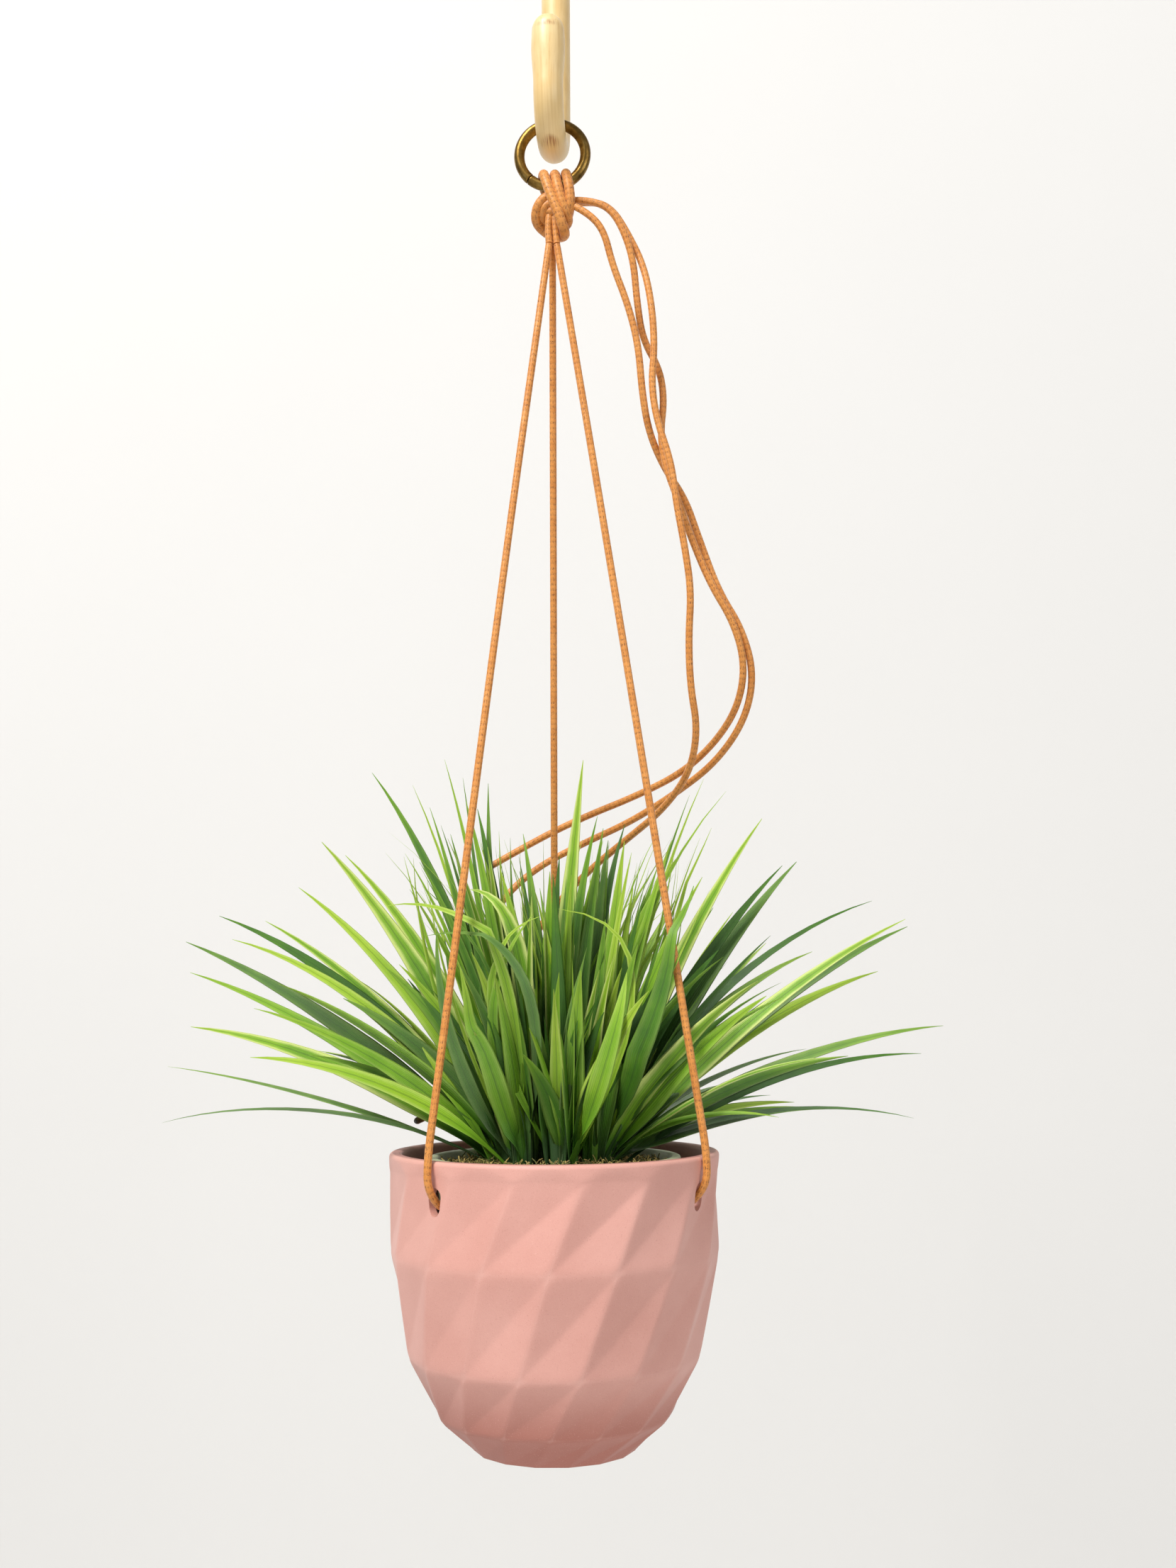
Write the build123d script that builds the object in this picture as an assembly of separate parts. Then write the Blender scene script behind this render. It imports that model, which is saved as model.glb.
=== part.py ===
from build123d import *
import math
import os

# A hanging planter: a wooden hook, a metal ring, three waxed cords hitched to the ring, a faceted
# ceramic pot hung from the cords, and a liner pot with artificial grass that lifts out of it.
# Millimetres, +Z up. The origin is the mouth of the bore in the top of the hook's shank. The front
# is -Y. Heights written "above the rim" are measured from the top of the pot, and a phase is an
# angle about the pot's axis, 0 at the front and growing towards +X.

# ---- hook ----
ROD_D = 12.6                # rod of the shank and the bend
BEND_R = 17.0               # centreline radius of the bend
SHANK_LENGTH = 84.0         # top of the shank to the centre of the bend
TINE_D = 14.2               # thickest place of the front tine
TINE_LENGTH = 31.0          # centre of the bend to the tip
TINE_SWELL_AT = 0.45        # share of the tine's length where it is thickest
TINE_TAPER = 0.97           # its thickness where the rounded tip starts, as a share of the thickest
TINE_SHOULDER = (0.66, 0.12)        # point on the tip: share of its radius, of its width
TINE_DRAFT = (-0.06, 1)     # the way its side leans in where the tip starts
SCREW_BORE_D = 3.4
SCREW_BORE_DEPTH = 28.0

# ---- ring ----
RING_WIRE_D = 4.5
RING_OUTER_D = 33.0
RING_SEAM_W = 0.25          # slit where the wire's ends meet
RING_SEAM_DEPTH = 1.1
RING_SEAM_ANGLE = 228.0     # degrees from +X, counter-clockwise seen from the front

# ---- cords and knots ----
CORD_D = 3.0
HANG_LENGTH = 404.0         # ring's lowest wire centre down to the pot's rim
KNOT_W = 17.5
KNOT_T = 13.0
KNOT_H = 31.5
KNOT_CORNER = 0.42          # rounding of its upright edges, as a share of its thickness
KNOT_EDGE = 0.28            # rounding of its top and bottom edges, likewise
KNOT_SIDE = 0.4             # the knot's middle lies this far to the right of the ring's
CORD_SPREAD = 2.05          # centre of the knot's foot to each of the three cords
STOPPER_D = 7.6
STOPPER_SAG = 2.6           # a stopper's centre lies this far below its hole's
CORD_ENTRY_RISE = 3.0       # the cord turns inwards this far above its hole's centre
CORD_ENTRY_SAG = 2.2        # and reaches its stopper this far below it
CORD_ENTRY_TURN = 1.2       # radius of that turn, in cord diameters

# ---- pot ----
FACETS = 16
RIM_R = 65.0
RIM_WALL = 5.2
RIM_BAND = 10.0             # round band below the rim, before the facets start
RIM_ROUND = 2.0
ROW_HEIGHT = (38.8, 38.4, 22.6, 12.6)       # the four rows of the wall, from the rim down
ROW_STEP_IN = (0.5, 7.2, 11.5, 14.3)        # how far each row steps in towards the axis
POT_WALL = 5.6
WALL_SHARE = (0.55, 0.8, 1.7)       # wall inside the lower rows' middles and the base, in wall thicknesses
POT_FLOOR = 6.4
FACET_PHASE = 3.6           # phase of one vertex of the highest crease
HOLE_W = 7.6
HOLE_H = 10.6
HOLE_DROP = 14.9            # rim to the hole's centre
CORD_NAMES = ("left", "right", "rear")
CORD_PHASES = (-38.5, 64.5, 185.5)

# ---- liner pot and filling ----
LINER_RIM_CLEAR = 9.8       # pot's inner wall to the liner's rim
LINER_RIM_DROP = 2.0        # pot's rim down to the liner's rim
LINER_LIP_W = 2.6
LINER_LIP_H = 4.0
LINER_TAPER = 19.0          # liner's rim radius less its base radius
LINER_WALL = 1.5
FOAM_DROP = 10.0            # pot's rim down to the top of the foam
MOSS_EDGE = 4.0             # thickness of the moss at the liner's wall
MOSS_CROWN = 3.5            # how much higher its middle is
MOSS_SHOULDER = (0.55, 0.75)        # a point of its profile: share of the radius, share of the crown

# ---- grass ----
SPRAY_COUNT = 6             # outer sprays, with one more in the middle
SPRAY_CIRCLE_R = 14.0
SPRAY_FIRST_PHASE = 16.0
STEM_D = 2.6
STEM_DEPTH = 58.0
COLLAR_D = 7.0
COLLAR_H = 6.0
LEAF_T = 0.7
LEAF_W = 7.6
LEAF_SHAPE = ((0.0, 0.40), (0.2, 0.78), (0.4, 1.0), (0.6, 0.94), (0.8, 0.62), (1.0, 0.10))  # place, width
FAN = (-25.0, -8.5, 8.5, 25.0)      # phases of a spray's low leaves about its own phase
STEEP_FAN = (-16.0, 0.0, 16.0)      # the same for its steep leaves
LOW_REACH = 146.0           # longest low leaf, pot's axis to its tip
LOW_SHARE = (0.78, 0.14, 0.08)      # its reach: least share, more at the sides, more by its turn
LOW_LIFT = (62.0, 70.0)     # how steeply low leaves set out: least, and how much more
LOW_TIP = (8.0, 62.0)       # their tips above the rim: least, and how much more
HIGH_TIP = 156.0            # tallest leaf's tip above the rim
STEEP_REACH = (0.56, -0.34)         # steep leaves' reach, as shares of the longest
STEEP_TIP = (0.62, 0.30)    # their tips, as shares of the tallest
STEEP_LIFT = 1.25           # how steeply they set out, as a share of the tip's height
MIDDLE_TIPS = (1.0, 0.78, 0.9, 0.72, 0.96, 0.82, 0.88)
MIDDLE_REACH = (9.0, 12.0, 15.0)
MIDDLE_FIRST_PHASE = 20.0
MIDDLE_LIFT = 1.02
TURN_STEP = 0.618           # spreads the leaves' sizes evenly without a pattern
CORD_KEEP_OUT = 12.5        # a leaf's phase keeps this many degrees from each cord

# ---- clearances ----
GAP = 0.3                   # between bodies that touch on the real thing
FIT = 0.1                   # between a piece and the socket it sits in
SWING = 26.0                # degrees that the knot's channel lets the ring turn

# ---- places that follow from the sizes ----
ROD_R = ROD_D / 2
CORD_R = CORD_D / 2
WIRE_R = RING_WIRE_D / 2
RING_MEAN_R = (RING_OUTER_D - RING_WIRE_D) / 2
RING_INNER_R = RING_MEAN_R - WIRE_R
POT_Y = -BEND_R             # the ring hangs at the middle of the bend, above the pot's axis
ROD_LOW_Z = -SHANK_LENGTH - BEND_R                      # centreline at the bottom of the bend
RING_Z = ROD_LOW_Z + ROD_R + GAP - RING_INNER_R
WIRE_LOW_Z = RING_Z - RING_MEAN_R                       # the knot turns about this height
RIM_Z = WIRE_LOW_Z - HANG_LENGTH
PITCH = 360.0 / FACETS
LEVEL_R = [RIM_R - sum(ROW_STEP_IN[:i + 1]) for i in range(len(ROW_STEP_IN))]
LEVEL_DROP = [sum(ROW_HEIGHT[:i + 1]) for i in range(len(ROW_HEIGHT))]
POT_BASE_R = LEVEL_R[-1]
POT_HEIGHT = LEVEL_DROP[-1]
LINER_RIM_R = RIM_R - RIM_WALL - LINER_RIM_CLEAR
LINER_BASE_R = LINER_RIM_R - LINER_TAPER
KNOT_TOP = HANG_LENGTH + WIRE_R + GAP + CORD_D          # above the rim
KNOT_FOOT = KNOT_TOP - KNOT_H

# ---- loose tails: route points chosen by hand: right of the pot's axis, behind it, above the rim ----
TAIL_ROUTES = {
    "loose_tail_long": [
        (9.6, -3.6, 393.0), (15.8, -4.8, 389.0), (22.3, -4.6, 381.0), (25.6, -3.4, 366.5),
        (32.0, -2.2, 349.0), (36.2, -1.8, 331.5), (37.6, -0.6, 310.5), (40.0, 3.6, 295.0),
        (46.2, 10.0, 281.0), (54.6, 11.0, 268.5), (60.6, 9.8, 249.5), (68.2, 8.8, 227.0),
        (77.6, 10.6, 211.5), (82.4, 13.6, 193.0), (78.6, 20.2, 175.0), (66.4, 31.2, 159.0),
        (49.2, 43.6, 147.6), (28.4, 56.4, 136.5), (6.5, 64.7, 128.0), (-15.9, 67.0, 117.0),
        (-31.8, 63.2, 101.0), (-40.6, 56.0, 78.0), (-43.0, 48.2, 51.0), (-45.4, 40.6, 26.0),
        (-51.6, 32.4, 12.8), (-60.4, 24.0, 9.4)],
    "loose_tail_upper": [
        (9.6, 0.4, 397.6), (17.0, 0.2, 397.0), (25.0, -0.4, 392.6), (30.4, 0.0, 383.0),
        (34.4, 1.0, 369.5), (35.6, 3.8, 352.0), (37.8, 5.8, 336.5), (44.8, 6.6, 323.5),
        (46.6, 5.4, 309.5), (44.8, 4.4, 294.5), (46.8, 4.8, 280.5), (51.6, 5.2, 266.5),
        (57.4, 4.8, 248.5), (65.0, 4.2, 229.0), (74.0, 7.0, 214.0), (78.6, 10.4, 197.5),
        (76.2, 17.2, 181.5), (67.4, 28.8, 168.5), (52.6, 42.0, 156.5), (31.8, 54.6, 148.0),
        (6.5, 63.8, 139.5), (-16.0, 68.4, 129.5), (-36.0, 67.4, 118.0)],
    "loose_tail_short": [
        (9.6, 4.6, 398.2), (17.4, 5.2, 399.4), (25.4, 5.6, 395.4), (31.8, 5.0, 384.0),
        (38.4, 3.6, 369.0), (41.9, 0.8, 350.5), (43.0, 0.0, 331.0), (41.4, 0.4, 315.0),
        (43.6, -0.6, 298.5), (49.4, -1.8, 280.0), (51.4, -2.4, 262.0), (54.6, -2.4, 243.5),
        (57.0, -1.6, 225.0), (55.6, 0.8, 206.0), (56.0, 3.2, 186.5), (58.8, 8.0, 169.0),
        (55.2, 17.6, 152.5), (43.4, 32.8, 139.0), (27.6, 48.0, 128.5), (10.2, 58.6, 116.0),
        (-4.8, 61.6, 101.5), (-16.6, 60.0, 84.5), (-23.6, 56.4, 65.5), (-26.6, 53.0, 46.5)],
}


def around(radius, phase, above_rim):
    """A point at a radius and a phase about the pot's axis."""
    a = math.radians(phase)
    return Vector(radius * math.sin(a), POT_Y - radius * math.cos(a), RIM_Z + above_rim)


def outward(phase):
    """The direction that points away from the pot's axis at a phase."""
    a = math.radians(phase)
    return Vector(math.sin(a), -math.cos(a), 0)


def hung(x, y, above_rim):
    """A point beside the pot's axis."""
    return Vector(x, POT_Y + y, RIM_Z + above_rim)


def turned(profile, axis_y=POT_Y):
    """A solid of revolution from (radius, z) points about an upright axis."""
    outline = Polyline(*[(r, axis_y, z) for r, z in profile], close=True)
    return revolve(make_face(outline), Axis((0, axis_y, 0), (0, 0, 1)), 360)


def solid_of(faces):
    """A closed solid from flat faces that share their edges."""
    return Solid(Shell(faces))


def flat(*points):
    """One flat face through its corner points."""
    return Face(Wire.make_polygon(points, close=True))


def corner_radii(points):
    """The arc of each inner corner: 0.45 of the shorter run over the tangent of half the turn."""
    radii = []
    for a, b, c in zip(points, points[1:], points[2:]):
        run = min((b - a).length, (c - b).length)
        half = math.radians((b - a).get_angle(c - b)) / 2
        radii.append(0.45 * run / math.tan(half))
    return radii


def tube(name, points, caps=None):
    """A cord along straight runs and tangent arcs; caps limits the arc at chosen corners."""
    radii = corner_radii(points)
    for corner, cap in (caps or {}).items():
        radii[corner] = min(radii[corner], cap)
    path = FilletPolyline(*points, radius=radii)
    body = sweep(Plane(origin=path @ 0, z_dir=path % 0) * Circle(CORD_R), path=path)
    expected = math.pi * CORD_R ** 2 * path.length
    print(f"{name}: {path.length:.1f} mm long, smallest arc {min(radii):.1f} mm, arcs "
          f"{', '.join(f'{r:.0f}' for r in radii)}; volume {body.volume / expected:.4f} of its line's")
    return body


# ---------------------------------------------------------------- hook

def hanger_hook():
    """A bent rod: a straight shank, half a turn, and a front tine that swells and rounds off."""
    bend_z = -SHANK_LENGTH
    shank = Pos(0, 0, bend_z / 2) * Cylinder(ROD_R, SHANK_LENGTH)
    section = Plane(origin=(0, 0, bend_z), z_dir=(0, 0, 1)) * Circle(ROD_R)
    bend = revolve(section, Axis((0, -BEND_R, bend_z), (-1, 0, 0)), 180)
    swell = TINE_LENGTH * TINE_SWELL_AT
    tip_start = TINE_LENGTH - TINE_D / 2
    side = Spline((ROD_R, 0), (TINE_D / 2, swell), (TINE_D / 2 * TINE_TAPER, tip_start),
                  tangents=((0, 1), TINE_DRAFT))
    shoulder = (TINE_D / 2 * TINE_SHOULDER[0], TINE_LENGTH - TINE_D * TINE_SHOULDER[1])
    cap = Spline(side @ 1, shoulder, (0, TINE_LENGTH), tangents=(TINE_DRAFT, (-1, 0)))
    half = make_face([side, cap, Line((0, TINE_LENGTH), (0, 0)), Line((0, 0), (ROD_R, 0))])
    tine = Pos(0, -2 * BEND_R, bend_z) * revolve(Plane.XZ * half, Axis.Z, 360)
    bore = Pos(0, 0, -SCREW_BORE_DEPTH / 2) * Cylinder(SCREW_BORE_D / 2, SCREW_BORE_DEPTH)
    return shank + bend + tine - bore


# ---------------------------------------------------------------- ring

def ring_torus(wire_radius):
    """The ring's own circle, upright across the hook, with any wire radius."""
    return Plane(origin=(0, POT_Y, RING_Z), z_dir=(0, 1, 0)) * Torus(RING_MEAN_R, wire_radius)


def hanging_ring():
    """A round wire ring with the shallow slit where its ends butt."""
    a = math.radians(RING_SEAM_ANGLE)
    seam_at = Vector(RING_MEAN_R * math.cos(a), POT_Y, RING_Z + RING_MEAN_R * math.sin(a))
    along = Vector(-math.sin(a), 0, math.cos(a))
    disc = Plane(origin=seam_at, z_dir=along)
    slit = extrude(disc * (Circle(WIRE_R * 1.3) - Circle(WIRE_R - RING_SEAM_DEPTH)),
                   RING_SEAM_W / 2, both=True)
    return ring_torus(WIRE_R) - slit


# ---------------------------------------------------------------- knot and cords

def hitch_knot():
    """The outer shape of the hitch, with a channel for the ring's wire through its whole swing."""
    middle = hung(KNOT_SIDE, 0, KNOT_TOP - KNOT_H / 2)
    lump = Box(KNOT_W, KNOT_T, KNOT_H)
    lump = fillet(lump.edges().filter_by(Axis.Z), KNOT_T * KNOT_CORNER)
    lump = fillet(lump.faces().sort_by(Axis.Z)[-1].edges(), KNOT_T * KNOT_EDGE)
    lump = fillet(lump.faces().sort_by(Axis.Z)[0].edges(), KNOT_T * KNOT_EDGE)
    lump = Pos(middle) * lump
    hinge = Axis((0, POT_Y, WIRE_LOW_Z), (1, 0, 0))
    for angle in (-SWING, -SWING / 2, 0, SWING / 2, SWING):
        lump -= ring_torus(WIRE_R + GAP).rotate(hinge, angle)
    return lump


def cord_points(phase):
    """A taut cord: foot of the knot, over the rim outside the wall, and in through its hole."""
    knot_end = hung(0, 0, KNOT_FOOT - GAP) + outward(phase) * CORD_SPREAD
    beside = RIM_R + CORD_R + FIT + GAP
    return [knot_end,
            around(beside, phase, CORD_R),
            around(beside, phase, -HOLE_DROP + CORD_ENTRY_RISE),
            around(stopper_radius() + STOPPER_D / 2 + 2 * FIT, phase, -HOLE_DROP - CORD_ENTRY_SAG)]


def stopper_radius():
    """Pot's axis to the middle of a stopper knot, which bears on the inside of the wall."""
    return RIM_R - RIM_WALL - GAP - STOPPER_D / 2


def stopper_knot(phase):
    """The outer shape of the overhand knot that keeps a cord's end inside the wall."""
    at = around(stopper_radius(), phase, -HOLE_DROP - STOPPER_SAG)
    knot = Plane(origin=at, x_dir=(0, 0, 1), z_dir=outward(phase)) * Sphere(STOPPER_D / 2)
    return knot


# ---------------------------------------------------------------- pot

def crease(radius, drop, first_phase, count=FACETS):
    """The corners of one level of the faceted wall."""
    step = 360.0 / count
    return [around(radius, first_phase + k * step, -drop) for k in range(count)]


def faceted_block():
    """The pot's outside below its round band. Each level turns half a facet against the next."""
    half = PITCH / 2
    top = crease(RIM_R - FIT, RIM_BAND, FACET_PHASE, FACETS * 2)
    levels = [crease(r, d, FACET_PHASE - half * i) for i, (r, d) in enumerate(zip(LEVEL_R, LEVEL_DROP))]
    faces = [flat(*top), flat(*reversed(levels[-1]))]
    n = FACETS
    for k in range(n):
        here, nxt = levels[0][k], levels[0][(k + 1) % n]
        left, middle, right = top[2 * k + 1], top[(2 * k + 2) % (2 * n)], top[(2 * k + 3) % (2 * n)]
        faces += [flat(here, nxt, right), flat(here, right, middle), flat(here, middle, left)]
        for upper, lower in zip(levels, levels[1:]):
            faces += [flat(upper[k], lower[k], upper[(k + 1) % n]),
                      flat(upper[(k + 1) % n], lower[k], lower[(k + 1) % n])]
    return solid_of(faces)


def cavity_profile():
    """The inside of the pot, as radius and drop, a wall's thickness inside its flattest places."""
    below_holes = HOLE_DROP + HOLE_H
    share = (below_holes - RIM_BAND) / (LEVEL_DROP[0] - RIM_BAND)
    upper = (RIM_R - ROW_STEP_IN[0] * share) * math.cos(math.radians(PITCH / 4)) - RIM_WALL
    mid = math.cos(math.radians(PITCH * 0.75))
    waists = [mid * (a + b) / 2 for a, b in zip(LEVEL_R, LEVEL_R[1:])]
    drops = [(a + b) / 2 for a, b in zip(LEVEL_DROP, LEVEL_DROP[1:])]
    drops[-1] = POT_HEIGHT - POT_FLOOR
    lower = [(r - POT_WALL * walls, d) for r, d, walls in zip(waists, drops, WALL_SHARE)]
    return [(RIM_R - RIM_WALL, 0), (upper, below_holes)] + lower


def plant_pot():
    """The faceted ceramic pot, open at the top, with three oval holes for the cords."""
    band = turned([(0, RIM_Z - RIM_BAND), (RIM_R, RIM_Z - RIM_BAND), (RIM_R, RIM_Z), (0, RIM_Z)])
    band = fillet(band.edges().group_by(Axis.Z)[-1], RIM_ROUND)
    inside = [(r, RIM_Z - d) for r, d in cavity_profile()]
    above = RIM_Z + RIM_ROUND
    cavity = turned([(0, above), (inside[0][0], above)] + inside + [(0, inside[-1][1])])
    pot = faceted_block() + band - cavity
    lip = [e for e in pot.edges().filter_by(GeomType.CIRCLE)
           if abs(e.center().Z - RIM_Z) < 0.01 and abs(e.radius - inside[0][0]) < 0.01]
    pot = fillet(lip, RIM_ROUND)
    for phase in CORD_PHASES:
        face = Plane(origin=around(RIM_R - 4 * RIM_WALL, phase, -HOLE_DROP),
                     x_dir=(0, 0, 1), z_dir=outward(phase))
        pot -= extrude(face * SlotOverall(HOLE_H, HOLE_W), 6 * RIM_WALL)
    return pot


# ---------------------------------------------------------------- liner, foam, moss

def cavity_radius(drop):
    """Radius of the pot's inside at a depth below the rim."""
    profile = cavity_profile()
    for (r0, d0), (r1, d1) in zip(profile, profile[1:]):
        if d0 <= drop <= d1:
            return r0 + (r1 - r0) * (drop - d0) / (d1 - d0)
    return profile[-1][0]


def liner_bottom():
    """Height of the liner's base above the rim: it wedges where the pot narrows to its base."""
    drop = POT_HEIGHT - POT_FLOOR
    while cavity_radius(drop) < LINER_BASE_R + GAP and drop > LINER_LIP_H:
        drop -= 0.25
    return -drop + GAP


def liner_wall(above_rim, inset=0.0):
    """Outer radius of the liner's wall at a height, less an inset."""
    top = -LINER_RIM_DROP
    share = (top - above_rim) / (top - liner_bottom())
    return (LINER_RIM_R - LINER_LIP_W) * (1 - share) + LINER_BASE_R * share - inset


def liner_pot():
    """The plastic liner: a tapered pot with a turned-out lip."""
    top, low = -LINER_RIM_DROP, liner_bottom()
    under = top - LINER_LIP_H
    floor = low + LINER_WALL
    profile = [(0, low), (LINER_BASE_R, low), (liner_wall(under), under), (LINER_RIM_R, under),
               (LINER_RIM_R, top), (liner_wall(top, LINER_WALL), top),
               (liner_wall(floor, LINER_WALL), floor), (0, floor)]
    return turned([(r, RIM_Z + z) for r, z in profile])


def spray_places():
    """Centre of each spray's stem, and the phase that it faces. The first is the middle one."""
    places = [(hung(0, 0, 0), 0.0)]
    for k in range(SPRAY_COUNT):
        phase = SPRAY_FIRST_PHASE + k * 360.0 / SPRAY_COUNT
        places.append((around(SPRAY_CIRCLE_R, phase, 0), phase))
    return places


def stem_sockets(radius):
    """Upright cutters where the stems go."""
    deep = STEM_DEPTH + FIT
    return [Pos(at + Vector(0, 0, -deep / 2 + COLLAR_H)) * Cylinder(radius, deep + 2 * COLLAR_H)
            for at, _ in spray_places()]


def foam_plug():
    """The foam that the stems are pushed into."""
    top, low = -FOAM_DROP, liner_bottom() + LINER_WALL + FIT
    inset = LINER_WALL + FIT
    foam = turned([(0, RIM_Z + low), (liner_wall(low, inset), RIM_Z + low),
                   (liner_wall(top, inset), RIM_Z + top), (0, RIM_Z + top)])
    for socket in stem_sockets(STEM_D / 2 + FIT):
        foam -= socket
    return foam


def moss_layer():
    """The layer of dried moss over the foam, a little higher in the middle."""
    low = -FOAM_DROP + FIT
    edge = low + MOSS_EDGE
    inset = LINER_WALL + FIT
    reach = liner_wall(edge, inset)
    side = Line((liner_wall(low, inset), POT_Y, RIM_Z + low), (reach, POT_Y, RIM_Z + edge))
    crown = ThreePointArc((reach, POT_Y, RIM_Z + edge),
                          (reach * MOSS_SHOULDER[0], POT_Y, RIM_Z + edge + MOSS_CROWN * MOSS_SHOULDER[1]),
                          (0, POT_Y, RIM_Z + edge + MOSS_CROWN))
    rest = Polyline((0, POT_Y, RIM_Z + edge + MOSS_CROWN), (0, POT_Y, RIM_Z + low),
                    (liner_wall(low, inset), POT_Y, RIM_Z + low))
    moss = revolve(make_face([side, crown, rest]), Axis((0, POT_Y, 0), (0, 0, 1)), 360)
    for socket in stem_sockets(COLLAR_D / 2 + FIT):
        moss -= socket
    return moss


# ---------------------------------------------------------------- grass

def spray_stem(at):
    """The stiff stem under a spray."""
    top = -FOAM_DROP + FIT
    return Pos(at + Vector(0, 0, top - (STEM_DEPTH + top) / 2)) * Cylinder(STEM_D / 2, STEM_DEPTH + top)


def leaf(at, phase, reach, lift, tip, width):
    """One tapered blade that leaves its collar upwards and arches to its tip.

    reach is collar to tip across, lift is how steeply it sets out, tip is its end above the rim.
    """
    out, side = outward(phase), outward(phase + 90)
    rise = [lift * t + (tip - lift) * t * t for t, _ in LEAF_SHAPE]
    spine = [at + out * (LEAF_T + reach * t) + Vector(0, 0, z) for (t, _), z in zip(LEAF_SHAPE, rise)]
    rows = []
    for i, (_, share) in enumerate(LEAF_SHAPE):
        along = spine[min(i + 1, len(spine) - 1)] - spine[max(i - 1, 0)]
        up = along.cross(side).normalized() * (-LEAF_T / 2)
        half = side * (width * share / 2)
        here = spine[i]
        rows.append((here - half + up, here + half + up, here + half - up, here - half - up))
    faces = [flat(*rows[0]), flat(*reversed(rows[-1]))]
    for a, b in zip(rows, rows[1:]):
        faces += [flat(a[0], b[0], b[1], a[1]), flat(a[2], b[2], b[3], a[3])]
        faces += [flat(a[1], b[1], b[2]), flat(a[1], b[2], a[2])]
        faces += [flat(a[3], b[3], b[0]), flat(a[3], b[0], a[0])]
    return solid_of(faces)


def clear_of_cords(phase):
    """Whether a leaf at this phase passes between the cords, at rest and when the plant is lifted."""
    gaps = [abs((phase - c + 180) % 360 - 180) for c in CORD_PHASES]
    return min(gaps) > CORD_KEEP_OUT


def collar(at):
    """The small moulded base that a spray's leaves grow from."""
    low = -FOAM_DROP + 2 * FIT
    return Pos(at + Vector(0, 0, low)) * Cone(COLLAR_D / 2, COLLAR_D / 3, COLLAR_H - low,
                                              align=(Align.CENTER, Align.CENTER, Align.MIN))


def middle_spray(at):
    """The upright spray in the middle of the plant."""
    spray = collar(at)
    for k, share in enumerate(MIDDLE_TIPS):
        phase = MIDDLE_FIRST_PHASE + k * 360 / len(MIDDLE_TIPS)
        tip = HIGH_TIP * share
        reach = MIDDLE_REACH[k % len(MIDDLE_REACH)]
        spray += leaf(at, phase, reach, tip * MIDDLE_LIFT, tip, LEAF_W)
    return spray


def outer_spray(at, facing, index):
    """A spray at the edge of the plant: low leaves outside, steeper ones between them."""
    spray = collar(at)
    for i, offset in enumerate(FAN):
        phase = facing + offset
        if not clear_of_cords(phase):
            continue
        sideways = abs(math.sin(math.radians(phase)))
        turn = ((index * len(FAN) + i) * TURN_STEP) % 1.0
        reach = LOW_REACH * (LOW_SHARE[0] + LOW_SHARE[1] * sideways + LOW_SHARE[2] * turn)
        lift = LOW_LIFT[0] + LOW_LIFT[1] * turn
        spray += leaf(at, phase, reach, lift, LOW_TIP[0] + LOW_TIP[1] * turn, LEAF_W)
    for i, offset in enumerate(STEEP_FAN):
        phase = facing + offset
        if not clear_of_cords(phase):
            continue
        turn = ((index * len(STEEP_FAN) + i) * TURN_STEP + 0.3) % 1.0
        tip = HIGH_TIP * (STEEP_TIP[0] + STEEP_TIP[1] * turn)
        reach = LOW_REACH * (STEEP_REACH[0] + STEEP_REACH[1] * turn)
        spray += leaf(at, phase, reach, tip * STEEP_LIFT, tip, LEAF_W)
    return spray


# ---------------------------------------------------------------- the whole planter

def build():
    """Every piece by the name of its node."""
    pieces = {"hanger_hook": hanger_hook(), "hanging_ring": hanging_ring(), "hitch_knot": hitch_knot()}
    for name, phase in zip(CORD_NAMES, CORD_PHASES):
        taut = {0: RIM_ROUND + CORD_R, 1: CORD_D * CORD_ENTRY_TURN}
        pieces[f"cord_{name}"] = tube(f"cord_{name}", cord_points(phase), taut)
        pieces[f"stopper_knot_{name}"] = stopper_knot(phase)
    for name, route in TAIL_ROUTES.items():
        pieces[name] = tube(name, [hung(*p) for p in route])
    pieces["plant_pot"] = plant_pot()
    pieces["liner_pot"] = liner_pot()
    pieces["foam_plug"] = foam_plug()
    pieces["moss_layer"] = moss_layer()
    for index, (at, facing) in enumerate(spray_places()):
        pieces[f"spray_stem_{index + 1}"] = spray_stem(at)
        pieces[f"grass_spray_{index + 1}"] = outer_spray(at, facing, index) if index else middle_spray(at)
    return pieces


os.makedirs("parts", exist_ok=True)
for node, shape in build().items():
    shape.label = node
    export_step(shape, f"parts/{node}.step")
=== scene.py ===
"""A hanging planter: hook, ring, three waxed cords, a faceted pot and artificial grass."""
import logging
import math
import random
from dataclasses import dataclass, field
from enum import Enum

import bpy
import numpy as np
from mathutils import Matrix, Vector


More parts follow.
